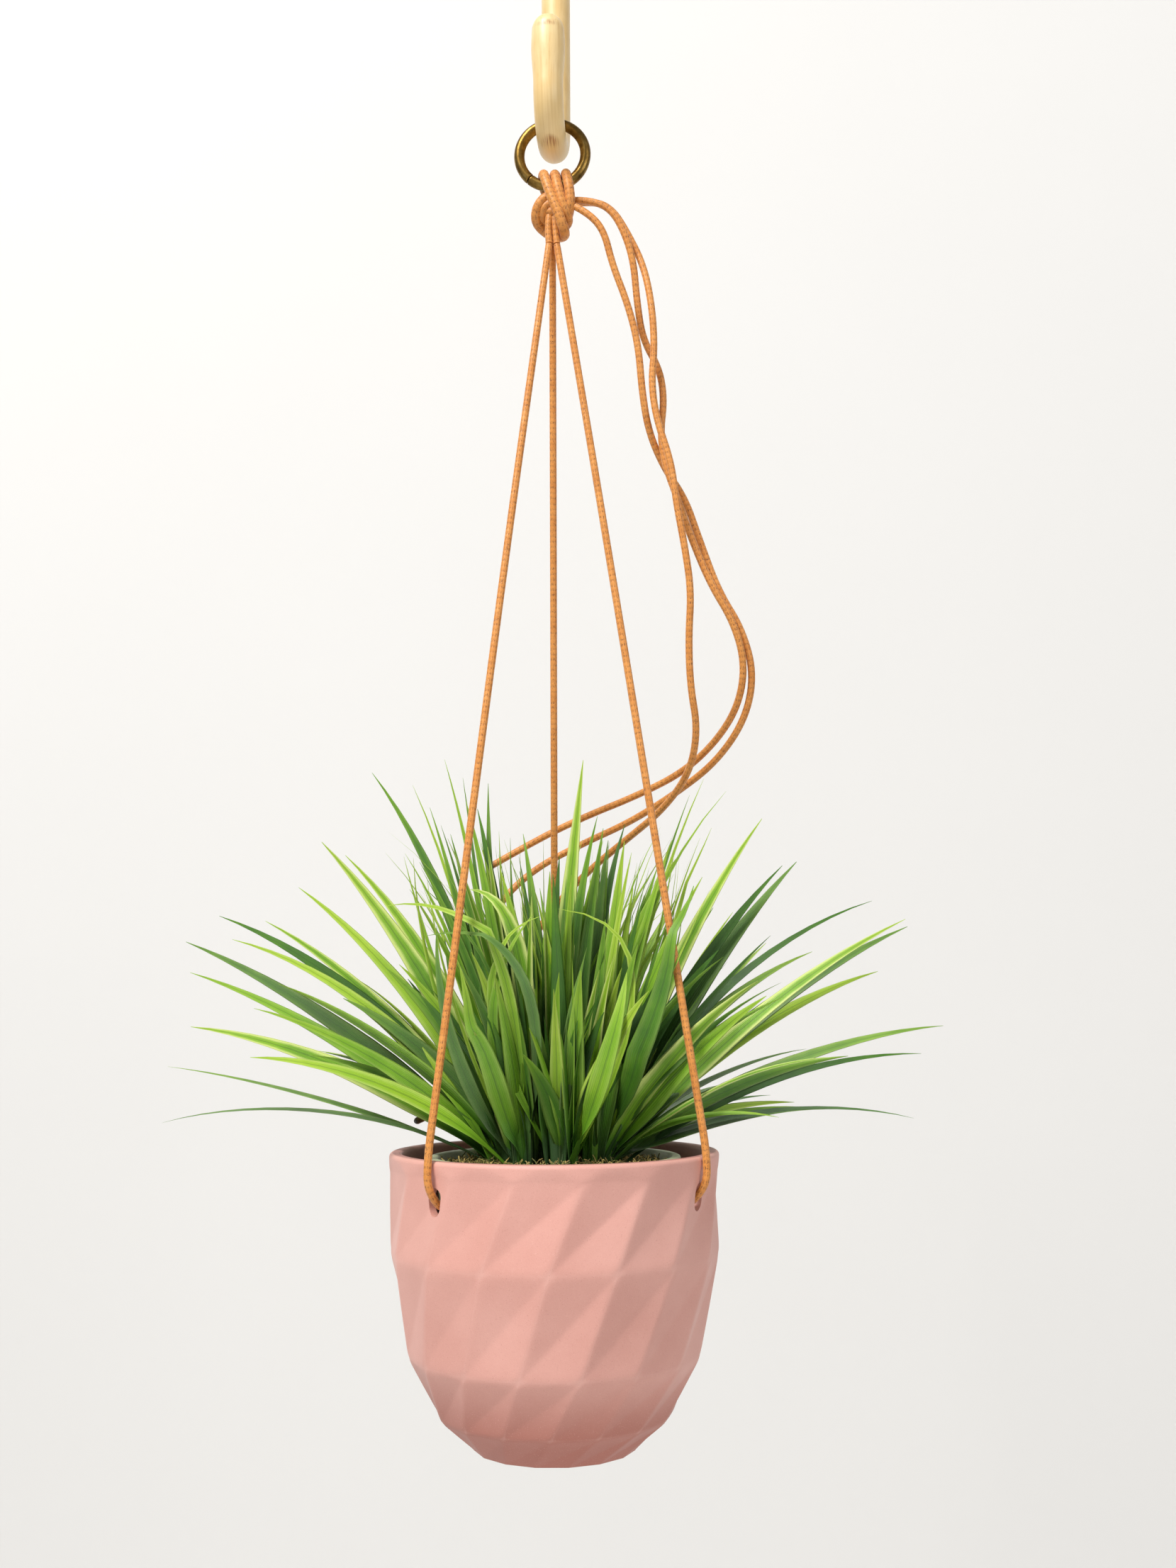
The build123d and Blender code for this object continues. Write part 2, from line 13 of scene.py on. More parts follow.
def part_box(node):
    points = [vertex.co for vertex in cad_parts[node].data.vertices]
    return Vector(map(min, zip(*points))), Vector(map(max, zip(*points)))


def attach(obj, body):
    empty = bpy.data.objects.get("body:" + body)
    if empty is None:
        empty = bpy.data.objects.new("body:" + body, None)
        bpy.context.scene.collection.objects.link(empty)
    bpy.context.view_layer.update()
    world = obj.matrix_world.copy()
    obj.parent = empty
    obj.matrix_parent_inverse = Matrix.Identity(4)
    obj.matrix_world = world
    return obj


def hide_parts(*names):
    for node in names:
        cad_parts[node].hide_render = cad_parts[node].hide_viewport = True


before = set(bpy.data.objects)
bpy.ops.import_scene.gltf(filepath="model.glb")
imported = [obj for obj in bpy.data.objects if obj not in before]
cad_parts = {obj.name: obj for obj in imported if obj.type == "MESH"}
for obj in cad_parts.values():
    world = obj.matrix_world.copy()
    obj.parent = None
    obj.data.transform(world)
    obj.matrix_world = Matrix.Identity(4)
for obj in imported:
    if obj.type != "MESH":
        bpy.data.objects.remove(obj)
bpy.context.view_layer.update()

LOG = logging.getLogger("planter")
MM = 0.001
Point = tuple[float, float, float]
HOLE_DROP = 14.9  # from the rim down to the middle of a cord's hole, in millimetres
CORD_BESIDE = 66.9  # from the pot's axis to a cord at the rim
CORD_GATHER = 64.85  # how much nearer the axis the cord is at the knot
CORD_RISE = 378  # from the rim up to the knot


def tint(red: int, green: int, blue: int) -> tuple[float, float, float, float]:
    """A scene colour from 0 to 255 screen values.

    Args:
        red: red share.
        green: green share.
        blue: blue share.

    Returns:
        The linear colour with full opacity.
    """
    parts = [c / 255 for c in (red, green, blue)]
    linear = [c / 12.92 if c <= 0.04045 else ((c + 0.055) / 1.055) ** 2.4 for c in parts]
    return (linear[0], linear[1], linear[2], 1.0)


@dataclass(frozen=True)
class Layout:
    """The places that every piece is set out from, read from the solid model."""

    pot_x: float
    pot_y: float
    rim_z: float
    wire_z: float
    ring_z: float

    @staticmethod
    def read() -> "Layout":
        """Measures the pot and the ring of the loaded model."""
        low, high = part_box("plant_pot")
        ring_low, ring_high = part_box("hanging_ring")
        wire = (ring_high.y - ring_low.y) / 2
        return Layout((low.x + high.x) / 2, (low.y + high.y) / 2, high.z, ring_low.z + wire,
                      (ring_low.z + ring_high.z) / 2)

    def hung(self, point: Point) -> Vector:
        """A point in millimetres right of the pot's axis, behind it and above its rim."""
        x, y, z = point
        return Vector((self.pot_x + x * MM, self.pot_y + y * MM, self.rim_z + z * MM))

    def tied(self, point: Point) -> Vector:
        """A point in millimetres from the ring's lowest wire centre, in the scene."""
        x, y, z = point
        return Vector((self.pot_x + x * MM, self.pot_y + y * MM, self.wire_z + z * MM))

    def around(self, radius: float, phase: float, above: float) -> Vector:
        """A point at a radius and phase about the pot's axis, phase 0 in front, in millimetres."""
        a = math.radians(phase)
        return self.hung((radius * math.sin(a), -radius * math.cos(a), above))


# --------------------------------------------------------------------------------------- node trees

class NodeBoard:
    """Adds and links nodes of one tree, for shapes and for finishes alike."""

    def __init__(self, tree: bpy.types.NodeTree, math_kind: str = "ShaderNodeMath") -> None:
        """Keeps the tree.

        Args:
            tree: the tree that the nodes go to.
            math_kind: the node that does sums in it.
        """
        self.tree = tree
        self.math_kind = math_kind

    def node(self, kind: str, inputs: dict | None = None, **settings: object) -> bpy.types.Node:
        """Adds a node.

        Args:
            kind: its type name.
            inputs: socket name or number to a constant or to another node's output.
            settings: properties set on the node before its inputs.

        Returns:
            The node.
        """
        made = self.tree.nodes.new(kind)
        for name, value in settings.items():
            setattr(made, name, value)
        for key, value in (inputs or {}).items():
            if value is None:
                continue
            socket = made.inputs[key]
            if isinstance(value, bpy.types.NodeSocket):
                self.tree.links.new(value, socket)
            else:
                socket.default_value = value
        return made

    def sum(self, operation: str, *values: object, clamp: bool = False) -> bpy.types.NodeSocket:
        """One step of arithmetic.

        Args:
            operation: the Math node's operation.
            values: its inputs, constants or outputs.
            clamp: keeps the result from 0 to 1.

        Returns:
            The result.
        """
        return self.node(self.math_kind, dict(enumerate(values)), operation=operation,
                         use_clamp=clamp).outputs[0]

    def times(self, *values: object) -> bpy.types.NodeSocket:
        """A product."""
        return self.sum("MULTIPLY", *values)

    def plus(self, *values: object, clamp: bool = False) -> bpy.types.NodeSocket:
        """Two values added."""
        return self.sum("ADD", *values, clamp=clamp)

    def minus(self, *values: object) -> bpy.types.NodeSocket:
        """The first value less the second."""
        return self.sum("SUBTRACT", *values)

    def vector(self, operation: str, *values: object) -> bpy.types.NodeSocket:
        """One step of vector arithmetic; Scale takes its factor second."""
        made = self.node("ShaderNodeVectorMath", operation=operation)
        keys = (0, "Scale") if operation == "SCALE" else range(len(values))
        for key, value in zip(keys, values):
            if isinstance(value, bpy.types.NodeSocket):
                self.tree.links.new(value, made.inputs[key])
            else:
                made.inputs[key].default_value = value
        return made.outputs["Value" if operation in ("LENGTH", "DOT_PRODUCT",
                                                     "DISTANCE") else "Vector"]

    def join(self, x: object, y: object, z: object) -> bpy.types.NodeSocket:
        """A vector from three values."""
        return self.node("ShaderNodeCombineXYZ", {0: x, 1: y, 2: z}).outputs[0]

    def split(self, vector: bpy.types.NodeSocket) -> list[bpy.types.NodeSocket]:
        """The three parts of a vector."""
        return list(self.node("ShaderNodeSeparateXYZ", {0: vector}).outputs)

    def fade(self, value: object, low: float, high: float, to_low: float = 0.0,
             to_high: float = 1.0, smooth: bool = True) -> bpy.types.NodeSocket:
        """Maps a range of values to another, eased at both ends and clamped."""
        kind = "SMOOTHSTEP" if smooth else "LINEAR"
        return self.node("ShaderNodeMapRange", {0: value, 1: low, 2: high, 3: to_low, 4: to_high},
                         interpolation_type=kind).outputs[0]


class ShapeTree(NodeBoard):
    """A Geometry Nodes tree with named inputs, run once on a mesh and turned into a plain mesh."""

    def __init__(self, name: str) -> None:
        """Starts the tree with a geometry input and output."""
        super().__init__(bpy.data.node_groups.new(name, "GeometryNodeTree"))
        self.tree.interface.new_socket("Geometry", in_out="INPUT", socket_type="NodeSocketGeometry")
        self.tree.interface.new_socket("Geometry", in_out="OUTPUT",
                                       socket_type="NodeSocketGeometry")
        self.entry = self.tree.nodes.new("NodeGroupInput")
        self.exit = self.tree.nodes.new("NodeGroupOutput")
        self.identifiers: dict[str, str] = {}

    def input(self, name: str, value: float | int) -> bpy.types.NodeSocket:
        """Adds a named size.

        Args:
            name: the input's name.
            value: its first value, whole for a count.

        Returns:
            The socket that gives it inside the tree.
        """
        kind = "NodeSocketInt" if isinstance(value, int) else "NodeSocketFloat"
        socket = self.tree.interface.new_socket(name, in_out="INPUT", socket_type=kind)
        socket.default_value = value
        self.identifiers[name] = socket.identifier
        return self.entry.outputs[name]

    def position(self) -> bpy.types.NodeSocket:
        """The position of each point."""
        return self.node("GeometryNodeInputPosition").outputs[0]

    def named(self, name: str, kind: str = "FLOAT") -> bpy.types.NodeSocket:
        """A stored attribute of each point."""
        return self.node("GeometryNodeInputNamedAttribute", {"Name": name},
                         data_type=kind).outputs[0]

    def store(self, geometry: bpy.types.NodeSocket, name: str, value: object,
              selection: object = None, domain: str = "POINT") -> bpy.types.NodeSocket:
        """Stores a number under a name at each point, or at those selected."""
        return self.node("GeometryNodeStoreNamedAttribute",
                         {"Geometry": geometry, "Selection": selection, "Name": name,
                          "Value": value}, data_type="FLOAT", domain=domain).outputs[0]

    def normal(self) -> bpy.types.NodeSocket:
        """The normal at each point."""
        return self.node("GeometryNodeInputNormal").outputs[0]

    def place(self, geometry: bpy.types.NodeSocket, position: object = None, offset: object = None,
              selection: object = None) -> bpy.types.NodeSocket:
        """Moves points to a position or by an offset."""
        return self.node("GeometryNodeSetPosition",
                         {"Geometry": geometry, "Selection": selection, "Position": position,
                          "Offset": offset}).outputs[0]

    def finish(self, geometry: bpy.types.NodeSocket, material: bpy.types.Material) -> None:
        """Ends the tree with smooth faces, real geometry and its material."""
        smooth = self.node("GeometryNodeSetShadeSmooth", {"Geometry": geometry}).outputs[0]
        real = self.node("GeometryNodeRealizeInstances", {"Geometry": smooth}).outputs[0]
        dressed = self.node("GeometryNodeSetMaterial",
                            {"Geometry": real, "Material": material}).outputs[0]
        self.tree.links.new(dressed, self.exit.inputs[0])

    def run(self, name: str, base: bpy.types.Mesh, **sizes: float | int) -> bpy.types.Object:
        """Runs the tree on a mesh.

        Args:
            name: the finished piece's name.
            base: the mesh that it starts from.
            sizes: input names, with _ for a space, and their values.

        Returns:
            A plain mesh object in the scene, with no modifier.
        """
        holder = placed(name + ".base", base)
        modifier = holder.modifiers.new("shape", "NODES")
        modifier.node_group = self.tree
        for key, value in sizes.items():
            modifier[self.identifiers[key.replace("_", " ")]] = value
        mesh = baked(holder)
        bpy.data.objects.remove(holder)
        return add_object(name, mesh)


def placed(name: str, data: bpy.types.ID) -> bpy.types.Object:
    """A new object in the scene."""
    made = bpy.data.objects.new(name, data)
    bpy.context.collection.objects.link(made)
    return made


def baked(holder: bpy.types.Object) -> bpy.types.Mesh:
    """The mesh that an object's curve or modifiers give."""
    graph = bpy.context.evaluated_depsgraph_get()
    return bpy.data.meshes.new_from_object(holder.evaluated_get(graph), depsgraph=graph)


def add_object(name: str, mesh: bpy.types.Mesh) -> bpy.types.Object:
    """Puts a mesh in the scene under a name."""
    mesh.name = name
    return placed(name, mesh)


def mesh_from(name: str, points: list | np.ndarray, edges: list = (),
              faces: list = ()) -> bpy.types.Mesh:
    """A mesh from plain lists.

    Args:
        name: the mesh's name.
        points: its points.
        edges: pairs of point numbers.
        faces: rings of point numbers.

    Returns:
        The mesh.
    """
    mesh = bpy.data.meshes.new(name)
    mesh.from_pydata([tuple(p) for p in points], list(edges), list(faces))
    mesh.update()
    return mesh


def lathe(name: str, layout: Layout, profile: list[tuple[float, float]],
          sides: int) -> bpy.types.Mesh:
    """A closed turned shape about the pot's axis.

    Args:
        name: the mesh's name.
        layout: where the axis is.
        profile: radius and height above the rim in millimetres, from the axis and back to it.
        sides: faces around.

    Returns:
        The mesh, its faces pointing outwards.
    """
    points, faces = [], []
    first = len(profile)
    for k in range(sides):
        for radius, above in profile[1:-1]:
            points.append(layout.around(radius, 360.0 * k / sides, above))
    rows = first - 2
    poles = [len(points), len(points) + 1]
    points += [layout.hung((0, 0, profile[0][1])), layout.hung((0, 0, profile[-1][1]))]
    for k in range(sides):
        a, b = k * rows, ((k + 1) % sides) * rows
        faces.append((poles[0], b, a))
        for i in range(rows - 1):
            faces.append((a + i, b + i, b + i + 1, a + i + 1))
        faces.append((poles[1], a + rows - 1, b + rows - 1))
    mesh = mesh_from(name, points, faces=faces)
    mesh.shade_smooth()
    return mesh


# ----------------------------------------------------------------------------------------- finishes

class FinishBoard(NodeBoard):
    """The node tree of one material around a Principled shader."""

    def __init__(self, name: str, **constants: object) -> None:
        """Makes the material.

        Args:
            name: its name.
            constants: shader inputs with one value all over, with _ for a space.
        """
        self.material = bpy.data.materials.new(name)
        self.material.use_nodes = True
        super().__init__(self.material.node_tree)
        self.tree.nodes.clear()
        self.shader = self.node("ShaderNodeBsdfPrincipled")
        output = self.node("ShaderNodeOutputMaterial")
        self.tree.links.new(self.shader.outputs[0], output.inputs["Surface"])
        for key, value in constants.items():
            self.shader.inputs[key.replace("_", " ")].default_value = value

    def object_point(self) -> bpy.types.NodeSocket:
        """Object coordinates."""
        return self.node("ShaderNodeTexCoord").outputs["Object"]

    def stored(self, name: str) -> bpy.types.NodeSocket:
        """A number stored on the mesh."""
        return self.node("ShaderNodeAttribute", attribute_name=name).outputs["Fac"]

    def noise(self, vector: object, scale: float, detail: float = 3.0,
              roughness: float = 0.55) -> bpy.types.NodeSocket:
        """Cloudy noise from 0 to 1."""
        return self.node("ShaderNodeTexNoise", {"Vector": vector, "Scale": scale, "Detail": detail,
                                                "Roughness": roughness}).outputs[0]

    def stretch(self, vector: object, scale: Point) -> bpy.types.NodeSocket:
        """The vector with each part scaled."""
        return self.vector("MULTIPLY", vector, scale)

    def ramp(self, value: object, *stops: tuple[float, tuple]) -> bpy.types.NodeSocket:
        """A colour from a value, through place and colour stops."""
        made = self.node("ShaderNodeValToRGB", {0: value})
        elements = made.color_ramp.elements
        while len(elements) < len(stops):
            elements.new(0.5)
        for element, (place, colour) in zip(elements, stops):
            element.position = place
            element.color = colour
        return made.outputs[0]

    def blend(self, share: object, first: object, second: object,
              kind: str = "MIX") -> bpy.types.NodeSocket:
        """Two colours mixed by a share."""
        return self.node("ShaderNodeMix", {0: share, 6: first, 7: second}, data_type="RGBA",
                         blend_type=kind).outputs[2]

    def relief(self, height: object, distance: float, strength: float = 1.0,
               over: object = None) -> bpy.types.NodeSocket:
        """A bumped normal from a height."""
        return self.node("ShaderNodeBump", {"Height": height, "Distance": distance,
                                            "Strength": strength, "Normal": over}).outputs[0]

    def wear(self, colour: object = None, roughness: object = None,
             normal: object = None) -> bpy.types.Material:
        """Puts the results on the shader and gives the material."""
        for key, value in (("Base Color", colour), ("Roughness", roughness), ("Normal", normal)):
            if isinstance(value, bpy.types.NodeSocket):
                self.tree.links.new(value, self.shader.inputs[key])
            elif value is not None:
                self.shader.inputs[key].default_value = value
        return self.material


@dataclass(frozen=True)
class WaxedCordFinish:
    """Braided cotton cord, dyed tan and waxed, charred where an end was sealed."""

    light: tuple = tint(226, 154, 74)
    body: tuple = tint(206, 130, 50)
    # painted shade: the colour laid into the braid's grooves
    groove_shade: tuple = tint(136, 74, 26)
    fleck: tuple = tint(92, 48, 24)
    char: tuple = tint(30, 22, 18)

    def make(self) -> bpy.types.Material:
        """The material, with painted shade darkening the braid's grooves; the mesh stores its braid
        height and its char.
        """
        board = FinishBoard("waxed cord", Coat_Weight=0.12, Coat_Roughness=0.35, Sheen_Weight=0.15,
                            Sheen_Roughness=0.5)
        place = board.object_point()
        braid = board.stored("braid")
        cloud = board.noise(place, 160.0, 3.0)
        fibre = board.noise(board.stretch(place, (1.0, 1.0, 0.45)), 2600.0, 2.0)
        colour = board.ramp(cloud, (0.3, self.body), (0.75, self.light))
        # painted shade: the grooves between the braid's strands are darkened towards the groove
        # colour
        shade = board.fade(braid, 0.5, 0.0, 0.0, 0.6)
        colour = board.blend(shade, colour, self.groove_shade)
        # dark flecks, weaker on the braid's crests: fibre colour, and painted shade in the gaps
        # between strands
        speck = board.times(board.fade(fibre, 0.56, 0.66), board.fade(braid, 0.95, 0.4))
        colour = board.blend(board.times(speck, 0.8), colour, self.fleck)
        colour = board.blend(board.stored("char"), colour, self.char)
        rough = board.fade(cloud, 0.3, 0.8, 0.62, 0.46)
        height = board.plus(board.times(braid, 0.7), board.times(fibre, 0.35))
        return board.wear(colour, rough, board.relief(height, 0.00016, 0.7))


@dataclass(frozen=True)
class MattGlazeFinish:
    """A matt dusty-pink glaze with fine speckle, with a painted highlight along its ridges and
    painted shade inside and at its foot.
    """

    body: tuple = tint(223, 167, 154)
    deep: tuple = tint(213, 155, 142)
    # edge: painted highlight along the ridges, also used for the pale speckle
    edge: tuple = tint(238, 194, 182)
    # inside: painted shade on the inner wall, also laid on the top of the rim
    inside: tuple = tint(178, 118, 110)
    speck: tuple = tint(166, 98, 90)
    # foot: painted shade, darker towards the bottom of the pot
    foot: tuple = tint(162, 88, 70)
    foot_shade_from: float = -0.598
    foot_shade_to: float = -0.632

    def make(self) -> bpy.types.Material:
        """The material; the mesh stores how near a ridge is and what faces inwards, for the painted
        highlight on the ridges and the painted shade inside.
        """
        board = FinishBoard("matt pink glaze", Sheen_Weight=0.08, Sheen_Roughness=0.6)
        place = board.object_point()
        cloud = board.noise(place, 22.0, 4.0)
        grain = board.noise(place, 2400.0, 2.0)
        colour = board.ramp(cloud, (0.35, self.deep), (0.68, self.body))
        # painted shade: the foot colour darkens the pot towards its bottom
        low = board.fade(board.split(place)[2], self.foot_shade_from, self.foot_shade_to, 0.0, 0.85)
        colour = board.blend(low, colour, self.foot)
        # painted highlight: the ridges are lightened towards the edge colour
        colour = board.blend(board.fade(board.stored("ridge"), 0.1, 1.0, 0.0, 0.22), colour,
                             self.edge)
        # painted shade: the inside colour darkens the inner wall and the rim's top
        colour = board.blend(board.stored("inner"), colour, self.inside)
        colour = board.blend(board.fade(grain, 0.60, 0.78, 0.0, 0.4), colour, self.speck)
        colour = board.blend(board.fade(grain, 0.40, 0.25, 0.0, 0.3), colour, self.edge)
        height = board.plus(grain, board.times(board.noise(place, 420.0, 3.0), 0.8))
        return board.wear(colour, board.fade(cloud, 0.3, 0.7, 0.62, 0.52),
                          board.relief(height, 0.00012, 0.45))


@dataclass(frozen=True)
class AntiqueBrassFinish:
    """Brass darkened with age, rubbed brighter in places."""

    dark: tuple = tint(92, 70, 34)
    body: tuple = tint(134, 104, 50)
    bright: tuple = tint(176, 146, 84)
    seam: tuple = tint(24, 18, 10)

    def make(self) -> bpy.types.Material:
        """The material."""
        board = FinishBoard("antique brass", Metallic=1.0)
        place = board.object_point()
        cloud = board.noise(place, 260.0, 5.0, 0.65)
        colour = board.ramp(cloud, (0.3, self.dark), (0.52, self.body), (0.75, self.bright))
        colour = board.blend(board.stored("seam"), colour, self.seam)
        fine = board.noise(board.stretch(place, (1.0, 4.0, 1.0)), 1800.0, 2.0)
        rough = board.plus(board.fade(cloud, 0.3, 0.75, 0.40, 0.24), board.times(fine, 0.08))
        return board.wear(colour, rough, board.relief(fine, 0.00006, 0.35))


@dataclass(frozen=True)
class PaleWoodFinish:
    """Pale bent wood, sealed, with a straight grain that follows the bend and two small burns."""

    light: tuple = tint(240, 212, 156)
    body: tuple = tint(229, 193, 128)
    line: tuple = tint(206, 164, 100)
    burn: tuple = tint(150, 84, 36)
    bend_y: float = -0.017
    bend_z: float = -0.084
    bend_radius: float = 0.017
    burn_places: tuple = ((0.0, -0.0372, -0.0597), (0.0, -0.0271, -0.1050))

    def make(self) -> bpy.types.Material:
        """The material."""
        board = FinishBoard("pale bent wood", Coat_Weight=0.25, Coat_Roughness=0.3)
        place = board.object_point()
        x, y, z = board.split(place)
        out = board.minus(y, self.bend_y)
        down = board.sum("MAXIMUM", board.minus(self.bend_z, z), 0.0)
        up = board.sum("MAXIMUM", board.minus(z, self.bend_z), 0.0)
        across = board.sum("SQRT", board.plus(board.times(out, out), board.times(down, down)))
        turn = board.times(board.sum("ARCTAN2", down, out), self.bend_radius)
        along = board.minus(turn, board.times(board.sum("SIGN", out), up))
        grain_point = board.join(x, across, board.times(along, 0.035))
        broad = board.noise(grain_point, 700.0, 3.0)
        fine = board.noise(grain_point, 2700.0, 3.0, 0.6)
        cloud = board.noise(place, 60.0, 2.0)
        colour = board.ramp(cloud, (0.3, self.body), (0.7, self.light))
        colour = board.blend(board.fade(broad, 0.45, 0.8, 0.0, 0.5), colour, self.line)
        colour = board.blend(board.fade(fine, 0.55, 0.75, 0.0, 0.4), colour, self.line)
        for spot in self.burn_places:
            away = board.vector("MULTIPLY", board.vector("SUBTRACT", place, spot),
                                (0.45, 0.25, 1.3))
            near = board.fade(board.vector("LENGTH", away), 0.0026, 0.0006, 0.0, 0.8)
            mark = board.times(near, board.fade(fine, 0.35, 0.6))
            colour = board.blend(mark, colour, self.burn)
        return board.wear(colour, board.fade(broad, 0.3, 0.7, 0.48, 0.38),
                          board.relief(fine, 0.00012, 0.4))


@dataclass(frozen=True)
class MouldedPlasticFinish:
    """Moulded plastic with a faint cloud and a fine satin texture."""

    name: str
    body: tuple
    shade: tuple
    roughness: float = 0.45

    def make(self) -> bpy.types.Material:
        """The material."""
        board = FinishBoard(self.name)
        place = board.object_point()
        cloud = board.noise(place, 70.0, 3.0)
        colour = board.ramp(cloud, (0.35, self.shade), (0.65, self.body))
        fine = board.noise(place, 1500.0, 2.0)
        rough = board.fade(cloud, 0.2, 0.8, self.roughness + 0.06, self.roughness - 0.04)
        return board.wear(colour, rough, board.relief(fine, 0.00008, 0.3))


SAGE_PLASTIC = MouldedPlasticFinish("sage plastic", tint(186, 192, 156), tint(172, 178, 140), 0.48)
STEM_PLASTIC = MouldedPlasticFinish("dark stem plastic", tint(40, 72, 38), tint(30, 56, 30), 0.5)


@dataclass(frozen=True)
class GrassFinish:
    """Printed artificial leaf: dark to lime, paler at margin and tip, with parallel veins."""

    deep: tuple = tint(34, 70, 24)
    leaf: tuple = tint(72, 124, 26)
    fresh: tuple = tint(126, 176, 34)
    lime: tuple = tint(170, 206, 56)
    cream: tuple = tint(214, 228, 134)
    dust: tuple = tint(124, 144, 96)

    def make(self) -> bpy.types.Material:
        """The material; the mesh stores tone, margin, across, along and dusty."""
        board = FinishBoard("grass leaf", Coat_Weight=0.06, Coat_Roughness=0.4)
        place = board.object_point()
        tone, across, along = (board.stored(n) for n in ("tone", "across", "along"))
        cloud = board.noise(place, 75.0, 2.0)
        side = board.sum("ABSOLUTE", across)
        lift = board.times(board.minus(cloud, 0.5), 0.35)
        lift = board.plus(lift, board.fade(along, 0.55, 1.0, 0.0, 0.30))
        lift = board.minus(lift, board.fade(along, 0.35, 0.0, 0.0, 0.40))
        value = board.plus(tone, lift, clamp=True)
        colour = board.ramp(value, (0.0, self.deep), (0.34, self.leaf), (0.66, self.fresh),
                            (1.0, self.lime))
        veins = board.sum("SINE", board.times(across, 34.0))
        middle = board.fade(side, 0.16, 0.03, 0.0, 0.35)
        dark = board.plus(board.fade(veins, 0.2, 1.0, 0.0, 0.22), middle)
        colour = board.blend(dark, colour, self.deep)
        margin = board.times(board.stored("margin"),
                             board.fade(board.plus(side, board.times(board.minus(cloud, 0.5), 0.4)),
                                        0.35, 0.85))
        colour = board.blend(board.times(margin, board.fade(along, 0.1, 0.45)), colour, self.cream)
        colour = board.blend(board.stored("dusty"), colour, self.dust)
        height = board.plus(board.times(veins, 0.5), board.noise(place, 900.0, 2.0))
        return board.wear(colour, board.fade(cloud, 0.3, 0.7, 0.50, 0.38),
                          board.relief(height, 0.00016, 0.5))


@dataclass(frozen=True)
class MossFinish:
    """Dried moss, brown below and straw, olive and green at its tips."""

    earth: tuple = tint(74, 56, 34)
    olive: tuple = tint(112, 112, 52)
    straw: tuple = tint(200, 174, 100)
    green: tuple = tint(112, 118, 50)

    def make(self) -> bpy.types.Material:
        """The material; the mesh stores a tone for each strand."""
        board = FinishBoard("dried moss", Sheen_Weight=0.1)
        place = board.object_point()
        tone = board.stored("tone")
        colour = board.ramp(tone, (0.0, self.earth), (0.25, self.olive), (0.45, self.green),
                            (0.68, self.straw))
        cloud = board.noise(place, 500.0, 3.0)
        colour = board.blend(board.fade(cloud, 0.4, 0.75, 0.0, 0.6), colour, self.earth)
        return board.wear(colour, 0.85, board.relief(cloud, 0.0004, 0.6))


@dataclass(frozen=True)
class FoamFinish:
    """Dry green foam with crushed cells."""

    body: tuple = tint(96, 112, 70)
    cell: tuple = tint(58, 70, 42)

    def make(self) -> bpy.types.Material:
        """The material."""
        board = FinishBoard("foam")
        place = board.object_point()
        cells = board.node("ShaderNodeTexVoronoi",
                           {"Vector": place, "Scale": 1400.0}).outputs["Distance"]
        colour = board.blend(board.fade(cells, 0.2, 0.6), self.cell, self.body)
        return board.wear(colour, 0.9, board.relief(cells, 0.0004, 0.8))


@dataclass(frozen=True)
class WallFinish:
    """A plain pale painted surface for the stage."""

    name: str
    body: tuple = tint(225, 224, 222)
    cloud: tuple = tint(221, 220, 218)

    def make(self) -> bpy.types.Material:
        """The material."""
        board = FinishBoard(self.name)
        cloud = board.noise(board.object_point(), 3.0, 2.0)
        colour = board.blend(board.fade(cloud, 0.3, 0.7, 0.0, 0.25), self.body, self.cloud)
        return self.see_through_behind(board.wear(colour, 0.8))

    @staticmethod
    def see_through_behind(material: bpy.types.Material) -> bpy.types.Material:
        """Lets the stage be looked through from its far side."""
        nodes, links = material.node_tree.nodes, material.node_tree.links
        output = next(n for n in nodes if n.bl_idname == "ShaderNodeOutputMaterial")
        front = output.inputs["Surface"].links[0].from_socket
        side, clear = nodes.new("ShaderNodeNewGeometry"), nodes.new("ShaderNodeBsdfTransparent")
        mix = nodes.new("ShaderNodeMixShader")
        links.new(side.outputs["Backfacing"], mix.inputs[0])
        links.new(front, mix.inputs[1])
        links.new(clear.outputs[0], mix.inputs[2])
        links.new(mix.outputs[0], output.inputs["Surface"])
        return material


# -------------------------------------------------------------------------------------------- cords

